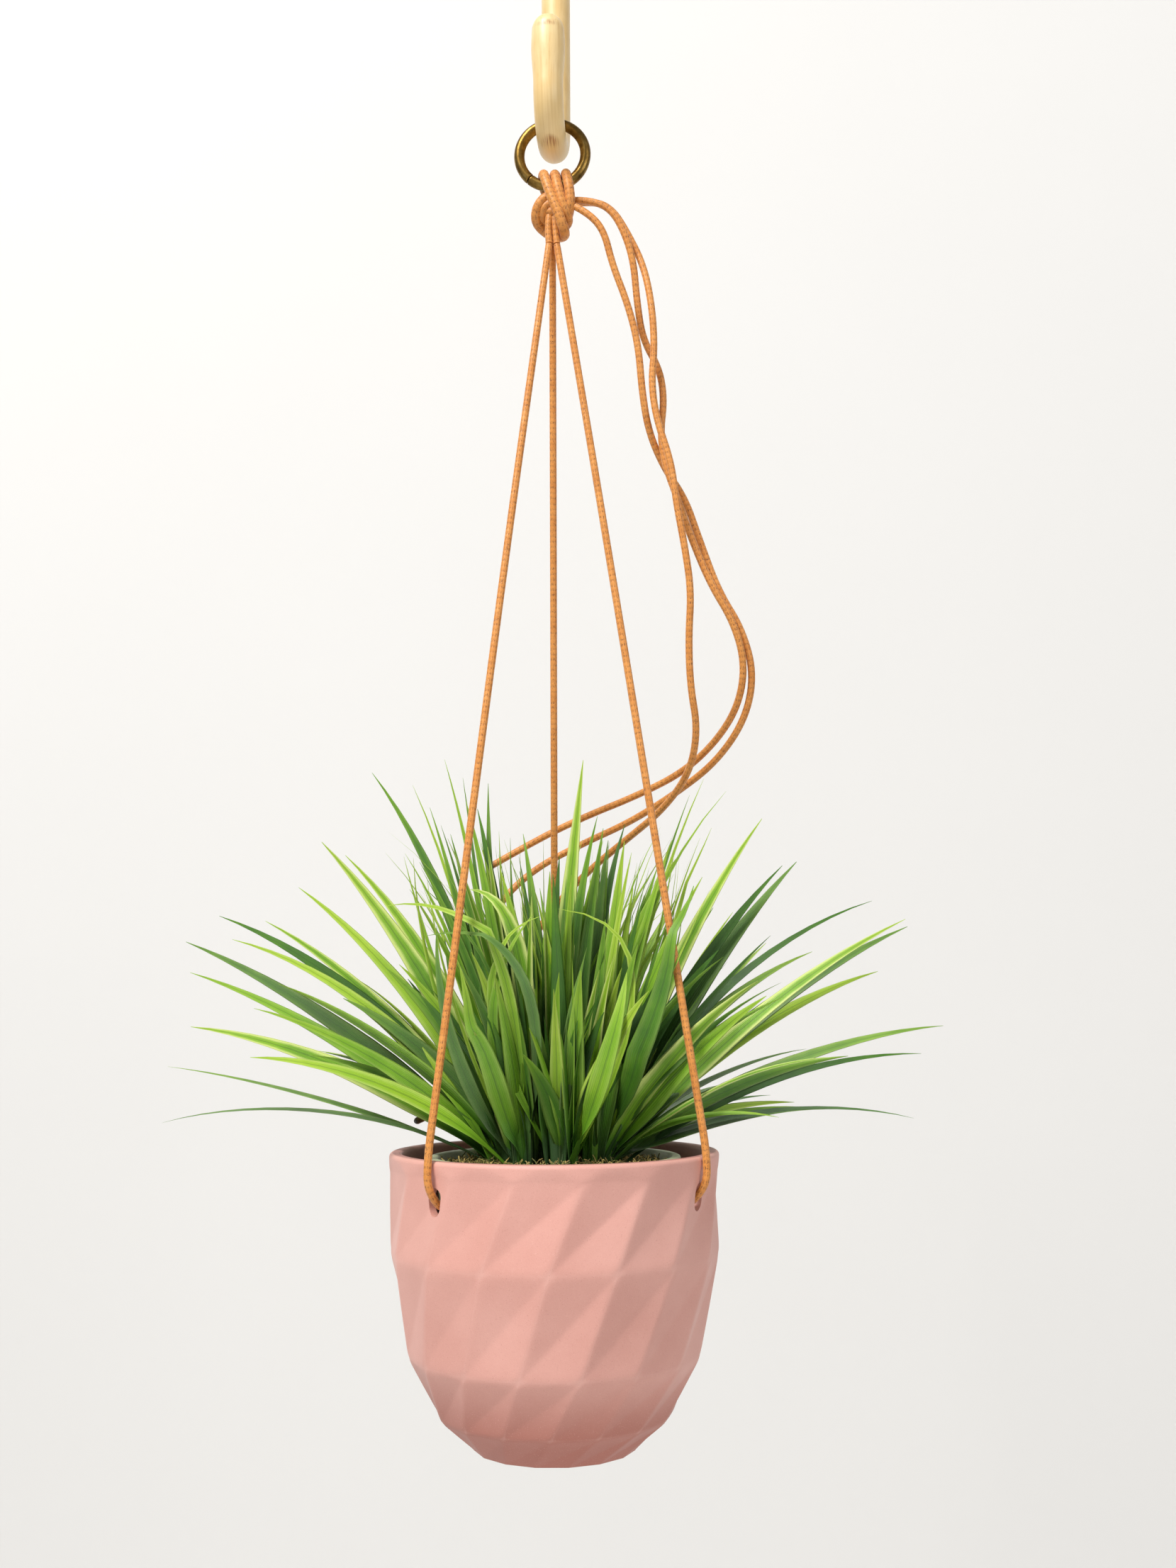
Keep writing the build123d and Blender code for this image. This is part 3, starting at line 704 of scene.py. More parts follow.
class CordTree:
    """Turns routes into round braided cords."""

    def __init__(self, material: bpy.types.Material) -> None:
        """Builds the tree: the route is resampled, made round and raised into a braid."""
        shape = ShapeTree("braided cord")
        radius = shape.input("Radius", 0.0015)
        spacing = shape.input("Ring spacing", 0.0006)
        sides = shape.input("Sides", 18)
        strands = shape.input("Strands", 5)
        lay = shape.input("Braid length", 0.0046)
        relief = shape.input("Relief", 0.00007)
        round_start = shape.input("Round start", 1.0)
        round_end = shape.input("Round end", 1.0)
        char_length = shape.input("Char length", 0.0)
        curve = shape.node("GeometryNodeMeshToCurve", {0: shape.entry.outputs[0]}).outputs[0]
        curve = shape.node("GeometryNodeResampleCurve", {"Curve": curve, "Length": spacing},
                           mode="LENGTH").outputs[0]
        spline = shape.node("GeometryNodeSplineParameter")
        run = spline.outputs["Length"]
        left = shape.minus(shape.sum("DIVIDE", run,
                                     shape.sum("MAXIMUM", spline.outputs["Factor"], 0.0001)), run)
        swell = shape.input("Swell", 0.0)
        factor = spline.outputs["Factor"]
        full = shape.times(shape.fade(factor, 0.03, 0.22), shape.fade(factor, 1.0, 0.86))
        dome = shape.plus(1.0, shape.times(full, swell))
        for there, rounded in ((run, round_start), (left, round_end)):
            near = shape.minus(1.0, shape.sum("DIVIDE", there, radius, clamp=True))
            near = shape.times(shape.times(near, near), rounded)
            here = shape.sum("SQRT", shape.minus(1.0, shape.times(near, 0.8)))
            dome = shape.times(dome, here)
        curve = shape.store(curve, "run", run)
        share = shape.sum("DIVIDE", left, shape.sum("MAXIMUM", char_length, 0.00001))
        char = shape.minus(1.0, shape.sum("MINIMUM", share, 1.0))
        curve = shape.store(curve,
                            "char", shape.times(shape.sum("POWER", char, 0.6),
                                                shape.sum("GREATER_THAN", char_length, 0.00001)))
        ring = shape.node("GeometryNodeCurvePrimitiveCircle",
                          {"Resolution": sides, "Radius": radius})
        number = shape.node("GeometryNodeInputIndex").outputs[0]
        turned = shape.times(shape.sum("DIVIDE", number, sides), math.tau)
        ring = shape.store(ring.outputs[0], "turned", turned)
        tube = shape.node("GeometryNodeCurveToMesh", {"Curve": curve, "Profile Curve": ring,
                                                      "Scale": dome, "Fill Caps": True}).outputs[0]
        climb = shape.times(shape.sum("DIVIDE", shape.named("run"), lay), math.tau)
        around = shape.times(shape.named("turned"), strands)
        waves = [shape.sum("SINE", shape.sum(op, around, climb)) for op in ("ADD", "SUBTRACT")]
        braid = shape.plus(shape.times(shape.times(*waves), 0.5), 0.5)
        tube = shape.store(tube, "braid", braid)
        normal = shape.normal()
        height = shape.times(shape.minus(shape.named("braid"), 0.6), relief)
        tube = shape.place(tube, offset=shape.vector("SCALE", normal, height))
        shape.finish(tube, material)
        self.shape = shape

    def lay(self, name: str, points: list[Vector] | np.ndarray,
            **sizes: float | int) -> bpy.types.Object:
        """A cord along a line of points.

        Args:
            name: the piece's name.
            points: the line, close together.
            sizes: inputs of the tree.

        Returns:
            The cord.
        """
        edges = [(i, i + 1) for i in range(len(points) - 1)]
        return self.shape.run(name, mesh_from(name, points, edges), **sizes)


def route_line(points: list[Vector]) -> np.ndarray:
    """The smooth line that a cord takes between its route points.

    Args:
        points: the control points of its NURBS spline.

    Returns:
        Points close together along the line.
    """
    data = bpy.data.curves.new("route", "CURVE")
    data.dimensions = "3D"
    spline = data.splines.new("NURBS")
    spline.points.add(len(points) - 1)
    for knot, point in zip(spline.points, points):
        knot.co = (*point, 1.0)
    spline.order_u = 3
    spline.use_endpoint_u = True
    spline.resolution_u = 24
    holder = placed("route", data)
    mesh = baked(holder)
    line = np.array([v.co[:] for v in mesh.vertices])
    bpy.data.objects.remove(holder)
    bpy.data.meshes.remove(mesh)
    keep = np.concatenate(([True], np.linalg.norm(np.diff(line, axis=0), axis=1) > 1e-7))
    return line[keep]


def through(points: list[Vector], steps: int = 10) -> list[Vector]:
    """A smooth line exactly through its points.

    Args:
        points: the places that it passes.
        steps: parts from one place to the next.

    Returns:
        Points close together along the line.
    """
    ends = [2 * points[0] - points[1]] + points + [2 * points[-1] - points[-2]]
    line = []
    for a, b, c, d in zip(ends, ends[1:], ends[2:], ends[3:]):
        for k in range(steps):
            t = k / steps
            line.append(0.5 * (2 * b + (c - a) * t + (2 * a - 5 * b + 4 * c - d) * t * t
                               + (3 * b - a - 3 * c + d) * t ** 3))
    return line + [points[-1]]


def line_length(line: np.ndarray) -> float:
    """Length of a line of points."""
    return float(np.linalg.norm(np.diff(line, axis=0), axis=1).sum())


TAIL_ROUTES: dict[str, list[Point]] = {
    "loose_tail_long": [
        (9.6, -3.6, 393.0), (15.8, -4.8, 389.0), (22.3, -4.6, 381.0), (25.6, -3.4, 366.5),
        (32.0, -2.2, 349.0), (36.2, -1.8, 331.5), (37.6, -0.6, 310.5), (40.0, 3.6, 295.0),
        (46.2, 10.0, 281.0), (54.6, 11.0, 268.5), (60.6, 9.8, 249.5), (68.2, 8.8, 227.0),
        (77.6, 10.6, 211.5), (82.4, 13.6, 193.0), (78.6, 20.2, 175.0), (66.4, 31.2, 159.0),
        (49.2, 43.6, 147.6), (28.4, 56.4, 136.5), (6.5, 64.7, 128.0), (-15.9, 67.0, 117.0),
        (-31.8, 63.2, 101.0), (-40.6, 56.0, 78.0), (-43.0, 48.2, 51.0), (-45.4, 40.6, 26.0),
        (-51.6, 32.4, 12.8), (-60.4, 24.0, 9.4)],
    "loose_tail_upper": [
        (9.6, 0.4, 397.6), (17.0, 0.2, 397.0), (25.0, -0.4, 392.6), (30.4, 0.0, 383.0),
        (34.4, 1.0, 369.5), (35.6, 3.8, 352.0), (37.8, 5.8, 336.5), (44.8, 6.6, 323.5),
        (46.6, 5.4, 309.5), (44.8, 4.4, 294.5), (46.8, 4.8, 280.5), (51.6, 5.2, 266.5),
        (57.4, 4.8, 248.5), (65.0, 4.2, 229.0), (74.0, 7.0, 214.0), (78.6, 10.4, 197.5),
        (76.2, 17.2, 181.5), (67.4, 28.8, 168.5), (52.6, 42.0, 156.5), (31.8, 54.6, 148.0),
        (6.5, 63.8, 139.5), (-16.0, 68.4, 129.5), (-36.0, 67.4, 118.0)],
    "loose_tail_short": [
        (9.6, 4.6, 398.2), (17.4, 5.2, 399.4), (25.4, 5.6, 395.4), (31.8, 5.0, 384.0),
        (38.4, 3.6, 369.0), (41.9, 0.8, 350.5), (43.0, 0.0, 331.0), (41.4, 0.4, 315.0),
        (43.6, -0.6, 298.5), (49.4, -1.8, 280.0), (51.4, -2.4, 262.0), (54.6, -2.4, 243.5),
        (57.0, -1.6, 225.0), (55.6, 0.8, 206.0), (56.0, 3.2, 186.5), (58.8, 8.0, 169.0),
        (55.2, 17.6, 152.5), (43.4, 32.8, 139.0), (27.6, 48.0, 128.5), (10.2, 58.6, 116.0),
        (-4.8, 61.6, 101.5), (-16.6, 60.0, 84.5), (-23.6, 56.4, 65.5), (-26.6, 53.0, 46.5)],
}

HITCH_ROUTES: dict[str, list[Point]] = {
    "hitch_strand_left": [
        (-1.3, -1.6, -26.2), (-1.6, -1.4, -20.2), (-1.3, -0.9, -14.7), (-1.3, 0.8, -9.2),
        (-2.5, 3.0, -3.1), (-4.0, 4.1, 1.6), (-4.3, 2.2, 4.9), (-3.5, -1.6, 4.7),
        (-2.0, -4.4, -0.5), (0.3, -5.4, -7.5), (2.6, -5.6, -13.5), (4.3, -5.0, -18.6),
        (5.3, -3.0, -21.4), (4.9, 0.4, -22.1), (1.8, 3.7, -21.1), (-2.4, 4.6, -18.9),
        (-5.9, 3.2, -16.2), (-7.1, 0.4, -13.8), (-6.3, -1.7, -10.4), (-4.2, -2.5, -7.4),
        (-1.4, -2.4, -5.6), (2.0, -2.0, -5.0), (5.6, -0.8, -5.6), (9.6, 0.4, -6.4)],
    "hitch_strand_rear": [
        (-0.2, 2.05, -26.2), (-0.3, 2.1, -17.0), (-0.3, 2.4, -9.5), (-0.2, 3.4, -2.6),
        (0.0, 4.2, 1.6), (0.4, 2.3, 4.8), (1.3, -1.3, 4.6), (2.4, -4.2, -1.2),
        (3.9, -4.9, -7.4), (5.6, -4.4, -12.1), (6.7, -2.2, -15.1), (6.0, 1.2, -16.6),
        (2.7, 4.4, -16.2), (-1.4, 4.6, -15.2), (-4.0, 2.6, -14.0), (-4.3, -0.2, -12.4),
        (-3.2, -1.6, -10.3), (-0.9, -2.0, -8.7), (2.4, -1.4, -8.2), (5.6, 1.8, -7.2),
        (9.6, 4.6, -5.8)],
    "hitch_strand_right": [
        (1.85, -0.9, -26.2), (1.2, -0.7, -18.3), (0.9, -0.2, -12.8), (1.5, 1.5, -6.8),
        (3.1, 3.5, -1.6), (4.6, 4.3, 2.0), (5.3, 2.3, 5.0), (6.0, -1.3, 4.8),
        (7.2, -4.0, -1.0), (7.9, -4.4, -6.8), (7.7, -3.6, -10.9), (6.9, -0.8, -13.2),
        (5.2, 2.4, -13.4), (1.7, 4.4, -12.4), (-1.7, 3.6, -11.8), (-2.6, 1.2, -11.6),
        (-1.4, -0.9, -11.8), (1.4, -1.8, -12.0), (5.0, -2.9, -12.0), (9.6, -3.6, -11.0)],
}


@dataclass
class CordSet:
    """Three cords of one length each: stopper knot, taut run, hitch on the ring, loose tail."""

    layout: Layout
    tree: CordTree
    radius: float = 0.0015
    phases: dict[str, float] = field(
        default_factory=lambda: {"left": -38.5, "right": 64.5, "rear": 185.5})
    knot_foot: float = 377.75
    foot_spread: float = 2.05
    beside: float = CORD_BESIDE
    hole_drop: float = HOLE_DROP
    seat: float = 59.7
    stopper_at: float = 55.7
    stopper_size: float = 0.82
    stopper_depth: float = 1.15
    stopper_steps: int = 60
    bow: dict[str, float] = field(default_factory=lambda: {"left": 1.2, "right": 0.5, "rear": 0.0})
    straight_near: float = 18.0
    char_length: float = 0.004

    def taut_route(self, name: str) -> list[Vector]:
        """The control points of one taut cord, from the knot's foot to its stopper knot."""
        phase = self.phases[name]
        foot = self.layout.around(self.foot_spread, phase, self.knot_foot)
        rim = self.layout.around(self.beside, phase, 1.5)
        run = rim - foot
        out = self.layout.around(1.0, phase, 0) - self.layout.around(0.0, phase, 0)
        near = self.straight_near * MM / run.length
        below = foot + run * near + out * 0.15
        middle = foot + run * 0.4 + out * self.bow[name]
        above = rim - run * near
        return [foot, below, middle, above, rim,
                self.layout.around(self.beside, phase, -self.hole_drop + 3.0),
                self.layout.around(self.seat, phase, -self.hole_drop - 2.2)]

    def taut_cord(self, name: str) -> bpy.types.Object:
        """One taut cord."""
        line = route_line(self.taut_route(name))
        cord = self.tree.lay(f"taut_cord_{name}", line, Radius=self.radius, Round_start=0.0)
        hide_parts(f"cord_{name}")
        line_length(line)
        return cord

    def tail(self, node: str) -> bpy.types.Object:
        """One loose tail; its end is cut and charred."""
        line = route_line([self.layout.hung(p) for p in TAIL_ROUTES[node]])
        cord = self.tree.lay(node.replace("loose_tail", "hanging_tail"), line, Radius=self.radius,
                             Round_start=0.0, Round_end=0.9, Char_length=self.char_length)
        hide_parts(node)
        line_length(line)
        return cord

    def hitch(self) -> list[bpy.types.Object]:
        """The three strands of the hitch, lying side by side over the ring."""
        made = []
        for name, route in HITCH_ROUTES.items():
            line = through([self.layout.tied(p) for p in route])
            strand = self.tree.lay(name, line, Radius=self.radius, Ring_spacing=0.0005, Swell=0.44,
                                   Round_start=0.0, Round_end=0.0)
            made.append(strand)
        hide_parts("hitch_knot")
        return made

    def stopper(self, name: str) -> bpy.types.Object:
        """The overhand knot inside the wall."""
        phase = self.phases[name]
        out = (self.layout.around(1.0, phase, 0) - self.layout.around(0.0, phase, 0)).normalized()
        side = Vector((0, 0, 1)).cross(out)
        centre = self.layout.around(self.stopper_at, phase, -self.hole_drop - 2.6)
        points = []
        for k in range(self.stopper_steps + 1):
            t = math.tau * k / self.stopper_steps
            u = self.stopper_size * (math.sin(t) + 2 * math.sin(2 * t))
            v = self.stopper_size * (math.cos(t) - 2 * math.cos(2 * t))
            w = self.stopper_depth * math.sin(3 * t)
            points.append(centre + (side * u + Vector((0, 0, v)) + out * w) * MM)
        knot = self.tree.lay(f"overhand_knot_{name}", points[:-2], Radius=self.radius * 0.9,
                             Sides=14)
        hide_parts(f"stopper_knot_{name}")
        return knot

    def build(self) -> list[bpy.types.Object]:
        """Every piece of the cords, riding on the hanger."""
        made = [self.taut_cord(name) for name in self.phases]
        made += [self.tail(node) for node in TAIL_ROUTES]
        made += self.hitch()
        made += [self.stopper(name) for name in self.phases]
        for piece in made:
            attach(piece, "hanger")
            LOG.info("%s: %d faces", piece.name, len(piece.data.polygons))
        return made

    def lines(self) -> dict[str, np.ndarray]:
        """The centre lines of the taut cords and of the tails."""
        made = {name: route_line(self.taut_route(name)) for name in self.phases}
        for node, route in TAIL_ROUTES.items():
            made[node] = route_line([self.layout.hung(p) for p in route])
        return made


# ------------------------------------------------------------------------------------ hook and ring

@dataclass
class HookAndRing:
    """The wooden hook, shown as its own solid in its real finish, and the brass ring."""

    layout: Layout
    wood: PaleWoodFinish = PaleWoodFinish()
    brass: AntiqueBrassFinish = AntiqueBrassFinish()
    seam_angle: float = 228.0
    seam_width: float = 0.00022
    seam_depth: float = 0.28
    steps: int = 288
    sides: int = 40

    def ring(self) -> bpy.types.Object:
        """A smooth round ring with the slit where its wire's ends butt."""
        low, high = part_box("hanging_ring")
        wire = (high.y - low.y) / 2
        reach = (high.x - low.x) / 2 - wire
        seam = math.radians(self.seam_angle)
        spread = [math.tau * k / self.steps for k in range(self.steps)]
        near_seam = (-3, -2, -1.2, -0.6, 0, 0.6, 1.2, 2, 3)
        close = [seam + self.seam_width / reach * k for k in near_seam]
        angles = sorted([a for a in spread if abs(a - seam) > 4 * self.seam_width / reach] + close)
        points, faces, slit = [], [], []
        for a in angles:
            depth = math.exp(-(((a - seam) * reach / self.seam_width) ** 2))
            radius = wire * (1 - self.seam_depth * depth)
            for k in range(self.sides):
                b = math.tau * k / self.sides
                out = reach + radius * math.cos(b)
                points.append((self.layout.pot_x + out * math.cos(a), self.layout.pot_y + radius
                               * math.sin(b), self.layout.ring_z + out * math.sin(a)))
                slit.append(depth)
        n = len(angles)
        for i in range(n):
            for k in range(self.sides):
                a, b = i * self.sides, ((i + 1) % n) * self.sides
                c = (k + 1) % self.sides
                faces.append((a + k, a + c, b + c, b + k))
        mesh = mesh_from("brass_ring", points, faces=faces)
        mesh.shade_smooth()
        mesh.attributes.new("seam", "FLOAT", "POINT").data.foreach_set("value", slit)
        mesh.materials.append(self.brass.make())
        piece = add_object("brass_ring", mesh)
        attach(piece, "ring")
        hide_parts("hanging_ring")
        return piece

    def build(self) -> None:
        """Dresses the hook and makes the ring."""
        dress("hanger_hook", self.wood.make())
        LOG.info("hanger_hook: dressed")
        LOG.info("brass_ring: %d faces", len(self.ring().data.polygons))


def dress(node: str, material: bpy.types.Material) -> None:
    """Gives a node of the solid model a material."""
    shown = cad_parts[node]
    if not shown.material_slots:
        shown.data.materials.append(material)
    for slot in shown.material_slots:
        slot.material = material


# ---------------------------------------------------------------------------------------------- pot

@dataclass
class FacetedPot:
    """The pot: a round band at the rim and four rows of facets, each row turned half a facet."""

    layout: Layout
    finish: MattGlazeFinish = MattGlazeFinish()
    facets: int = 16
    first_phase: float = 3.6
    band_radius: float = 65.0
    levels: tuple[tuple[float, float, float], ...] = ((1.6, 66.3, 0.5), (6.5, 65.1, 0.5),
                                                      (38.8, 64.9, 0.0), (77.2, 57.3, -0.5),
                                                      (99.8, 45.8, -1.0), (112.4, 31.5, -1.5))
    rim_wall: float = 5.2
    rim_round: float = 1.6
    inside: tuple[tuple[float, float], ...] = ((59.6, -8.0), (59.3, -25.5), (53.4, -58.0),
                                               (46.6, -85.0), (34.0, -101.0), (26.0, -105.2))
    foot: tuple[tuple[float, float], ...] = ((30.6, -112.4), (29.4, -111.4), (27.0, -111.2))
    hole_width: float = 7.6
    hole_height: float = 10.6
    hole_drop: float = HOLE_DROP
    cutter_reach: tuple[float, float] = (50.0, 72.0)
    cutter_sides: int = 32
    sharp_angle: float = 50.0

    def wall_tree(self, material: bpy.types.Material) -> ShapeTree:
        """The tree that folds a grid into the facets, softens its ridges and closes the pot."""
        shape = ShapeTree("faceted wall")
        facets = shape.input("Facets", self.facets)
        phase0 = shape.input("First phase", math.radians(self.first_phase))
        band = shape.input("Band radius", self.band_radius * MM)
        fineness = shape.input("Fineness", 5)
        softness = shape.input("Softness", 9)
        axis = shape.node("GeometryNodeInputPosition")
        grid = shape.node("GeometryNodeMeshGrid",
                          {"Size X": 1.0, "Size Y": 1.0, "Vertices X": shape.plus(facets, 1),
                           "Vertices Y": len(self.levels)}).outputs[0]
        gx, gy, _ = shape.split(axis.outputs[0])
        column = shape.sum("ROUND", shape.times(shape.plus(gx, 0.5), facets))
        row = shape.sum("ROUND", shape.times(shape.minus(0.5, gy), len(self.levels) - 1))
        drop, radius, shift = (self.pick(shape, row, i) for i in range(3))
        step = shape.sum("DIVIDE", math.tau, facets)
        phase = shape.plus(phase0, shape.times(shape.plus(column, shift), step))
        spot = shape.join(shape.times(radius, shape.sum("SINE", phase)),
                          shape.times(shape.times(radius, shape.sum("COSINE", phase)), -1.0),
                          shape.times(drop, -1.0))
        wall = shape.place(grid, position=spot)
        wall = shape.node("GeometryNodeMergeByDistance",
                          {"Geometry": wall, "Distance": 1e-5}).outputs[0]
        wall = shape.node("GeometryNodeTriangulate", {0: wall},
                          quad_method="LONGEST_DIAGONAL").outputs[0]
        wall = shape.node("GeometryNodeSubdivideMesh", {"Mesh": wall, "Level": fineness}).outputs[0]
        here = shape.position()
        x, y, z = shape.split(here)
        flat = shape.join(x, y, 0.0)
        reach = shape.vector("LENGTH", flat)
        held = shape.sum("SMOOTH_MIN", reach, band, 0.0006)
        way = shape.vector("NORMALIZE", flat)
        wall = shape.place(wall, position=shape.vector("ADD", shape.vector("SCALE", way, held),
                                                       shape.join(0.0, 0.0, z)))
        free = shape.times(shape.fade(shape.split(shape.position())[2], -0.0024, -0.006),
                           shape.fade(shape.split(shape.position())[2], -0.1123, -0.1115))
        before = shape.position()
        soft = shape.node("GeometryNodeBlurAttribute", {"Iterations": softness, "Weight": free},
                          data_type="FLOAT_VECTOR")
        vectors = [s for s in soft.inputs if s.name == "Value" and s.type == "VECTOR"]
        shape.tree.links.new(before, vectors[0])
        blurred = next(s for s in soft.outputs if s.type == "VECTOR")
        moved = shape.vector("DOT_PRODUCT", shape.vector("SUBTRACT", before, blurred),
                             shape.normal())
        # ridge: how far each point stands out on a ridge, where the glaze paints a highlight
        wall = shape.store(wall, "ridge", shape.sum("DIVIDE", moved, 0.0006, clamp=True))
        wall = shape.place(wall, position=blurred)
        wall = self.close(shape, wall)
        centre = self.layout.hung((0, 0, 0))
        wall = shape.node("GeometryNodeTransform",
                          {"Geometry": wall, "Translation": centre}).outputs[0]
        shape.finish(wall, material)
        return shape

    def pick(self, shape: ShapeTree, row: bpy.types.NodeSocket, which: int) -> bpy.types.NodeSocket:
        """A level's drop, radius or turn, chosen by its row."""
        kinds = ("drop", "radius", "turn")
        switch = shape.node("GeometryNodeIndexSwitch", {"Index": row}, data_type="FLOAT")
        while len(switch.index_switch_items) < len(self.levels):
            switch.index_switch_items.new()
        for i, level in enumerate(self.levels):
            value = level[which] * (1.0 if which == 2 else MM)
            size = shape.input(f"Level {i + 1} {kinds[which]}", value)
            shape.tree.links.new(size, switch.inputs[i + 1])
        return switch.outputs[0]

    def close(self, shape: ShapeTree, wall: bpy.types.NodeSocket) -> bpy.types.NodeSocket:
        """Turns the rim over, runs down inside and across the floor, and closes the foot."""
        top, base = -self.levels[0][0] * MM, -self.levels[-1][0] * MM
        r0, inner = self.band_radius, self.band_radius - self.rim_wall
        quarter = (0.0, math.pi / 8, math.pi / 4, 3 * math.pi / 8, math.pi / 2)
        rim = [(r0 - self.rim_round * (1 - math.cos(a)),
                -self.rim_round * (1 - math.sin(a))) for a in quarter[1:]]
        rim += [((r0 + inner) / 2, 0.0)]
        rim += [(inner + self.rim_round * (1 - math.sin(a)),
                 -self.rim_round * (1 - math.cos(a))) for a in quarter]
        z = shape.split(shape.position())[2]
        wall = shape.store(wall, "inner", 0.0)
        for start, profile, inwards in ((top, rim + list(self.inside), True),
                                        (base, list(self.foot), False)):
            picked = shape.sum("LESS_THAN", shape.sum("ABSOLUTE", shape.minus(z, start)), 0.00002)
            for number, (radius, above) in enumerate(profile + [(0.02, profile[-1][1])]):
                extruded = shape.node("GeometryNodeExtrudeMesh",
                                      {"Mesh": wall, "Selection": picked, "Offset Scale": 0.0},
                                      mode="EDGES")
                wall, picked = extruded.outputs["Mesh"], extruded.outputs["Top"]
                x, y, _ = shape.split(shape.position())
                way = shape.vector("NORMALIZE", shape.join(x, y, 0.0))
                spot = shape.vector("ADD", shape.vector("SCALE", way, radius * MM),
                                    (0.0, 0.0, above * MM))
                wall = shape.place(wall, position=spot, selection=picked)
                # marks the rim's top and the inner wall for the glaze's painted shade
                if inwards and number >= 3:
                    wall = shape.store(wall, "inner", 1.0, selection=picked)
        return shape.node("GeometryNodeMergeByDistance",
                          {"Geometry": wall, "Distance": 3e-5}).outputs[0]

    def hole_cutter(self, phase: float, material: bpy.types.Material) -> bpy.types.Object:
        """An oval bar through the wall at a phase."""
        a = math.radians(phase)
        side, up = Vector((math.cos(a), math.sin(a), 0)), Vector((0, 0, 1))
        straight, r = (self.hole_height - self.hole_width) / 2, self.hole_width / 2
        ring = []
        for k in range(self.cutter_sides):
            t = math.tau * k / self.cutter_sides
            ring.append((r * math.cos(t), r * math.sin(t) + math.copysign(straight, math.sin(t))))
        points = [self.layout.around(radius, phase, -self.hole_drop) + (side * u + up * v) * MM
                  for radius in self.cutter_reach for u, v in ring]
        n = len(ring)
        faces = [(k, (k + 1) % n, n + (k + 1) % n, n + k) for k in range(n)]
        faces += [tuple(reversed(range(n))), tuple(range(n, 2 * n))]
        bar = mesh_from("cutter", points, faces=faces)
        bar.materials.append(material)
        return add_object("cutter", bar)

    def build(self, phases: dict[str, float]) -> bpy.types.Object:
        """The whole pot, riding on the hanger.

        Args:
            phases: where the cords' holes are.

        Returns:
            The pot.
        """
        material = self.finish.make()
        pot = self.wall_tree(material).run("faceted_pot", mesh_from("seed", [(0, 0, 0)]))
        for phase in phases.values():
            cutter = self.hole_cutter(phase, material)
            cut = pot.modifiers.new("hole", "BOOLEAN")
            cut.object, cut.operation, cut.solver = cutter, "DIFFERENCE", "EXACT"
            mesh = baked(pot)
            pot.modifiers.clear()
            pot.data = mesh
            bpy.data.objects.remove(cutter)
        pot.data.set_sharp_from_angle(angle=math.radians(self.sharp_angle))
        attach(pot, "hanger")
        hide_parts("plant_pot")
        LOG.info("faceted_pot: %d faces", len(pot.data.polygons))
        return pot


# ----------------------------------------------------------------------------------- liner and moss

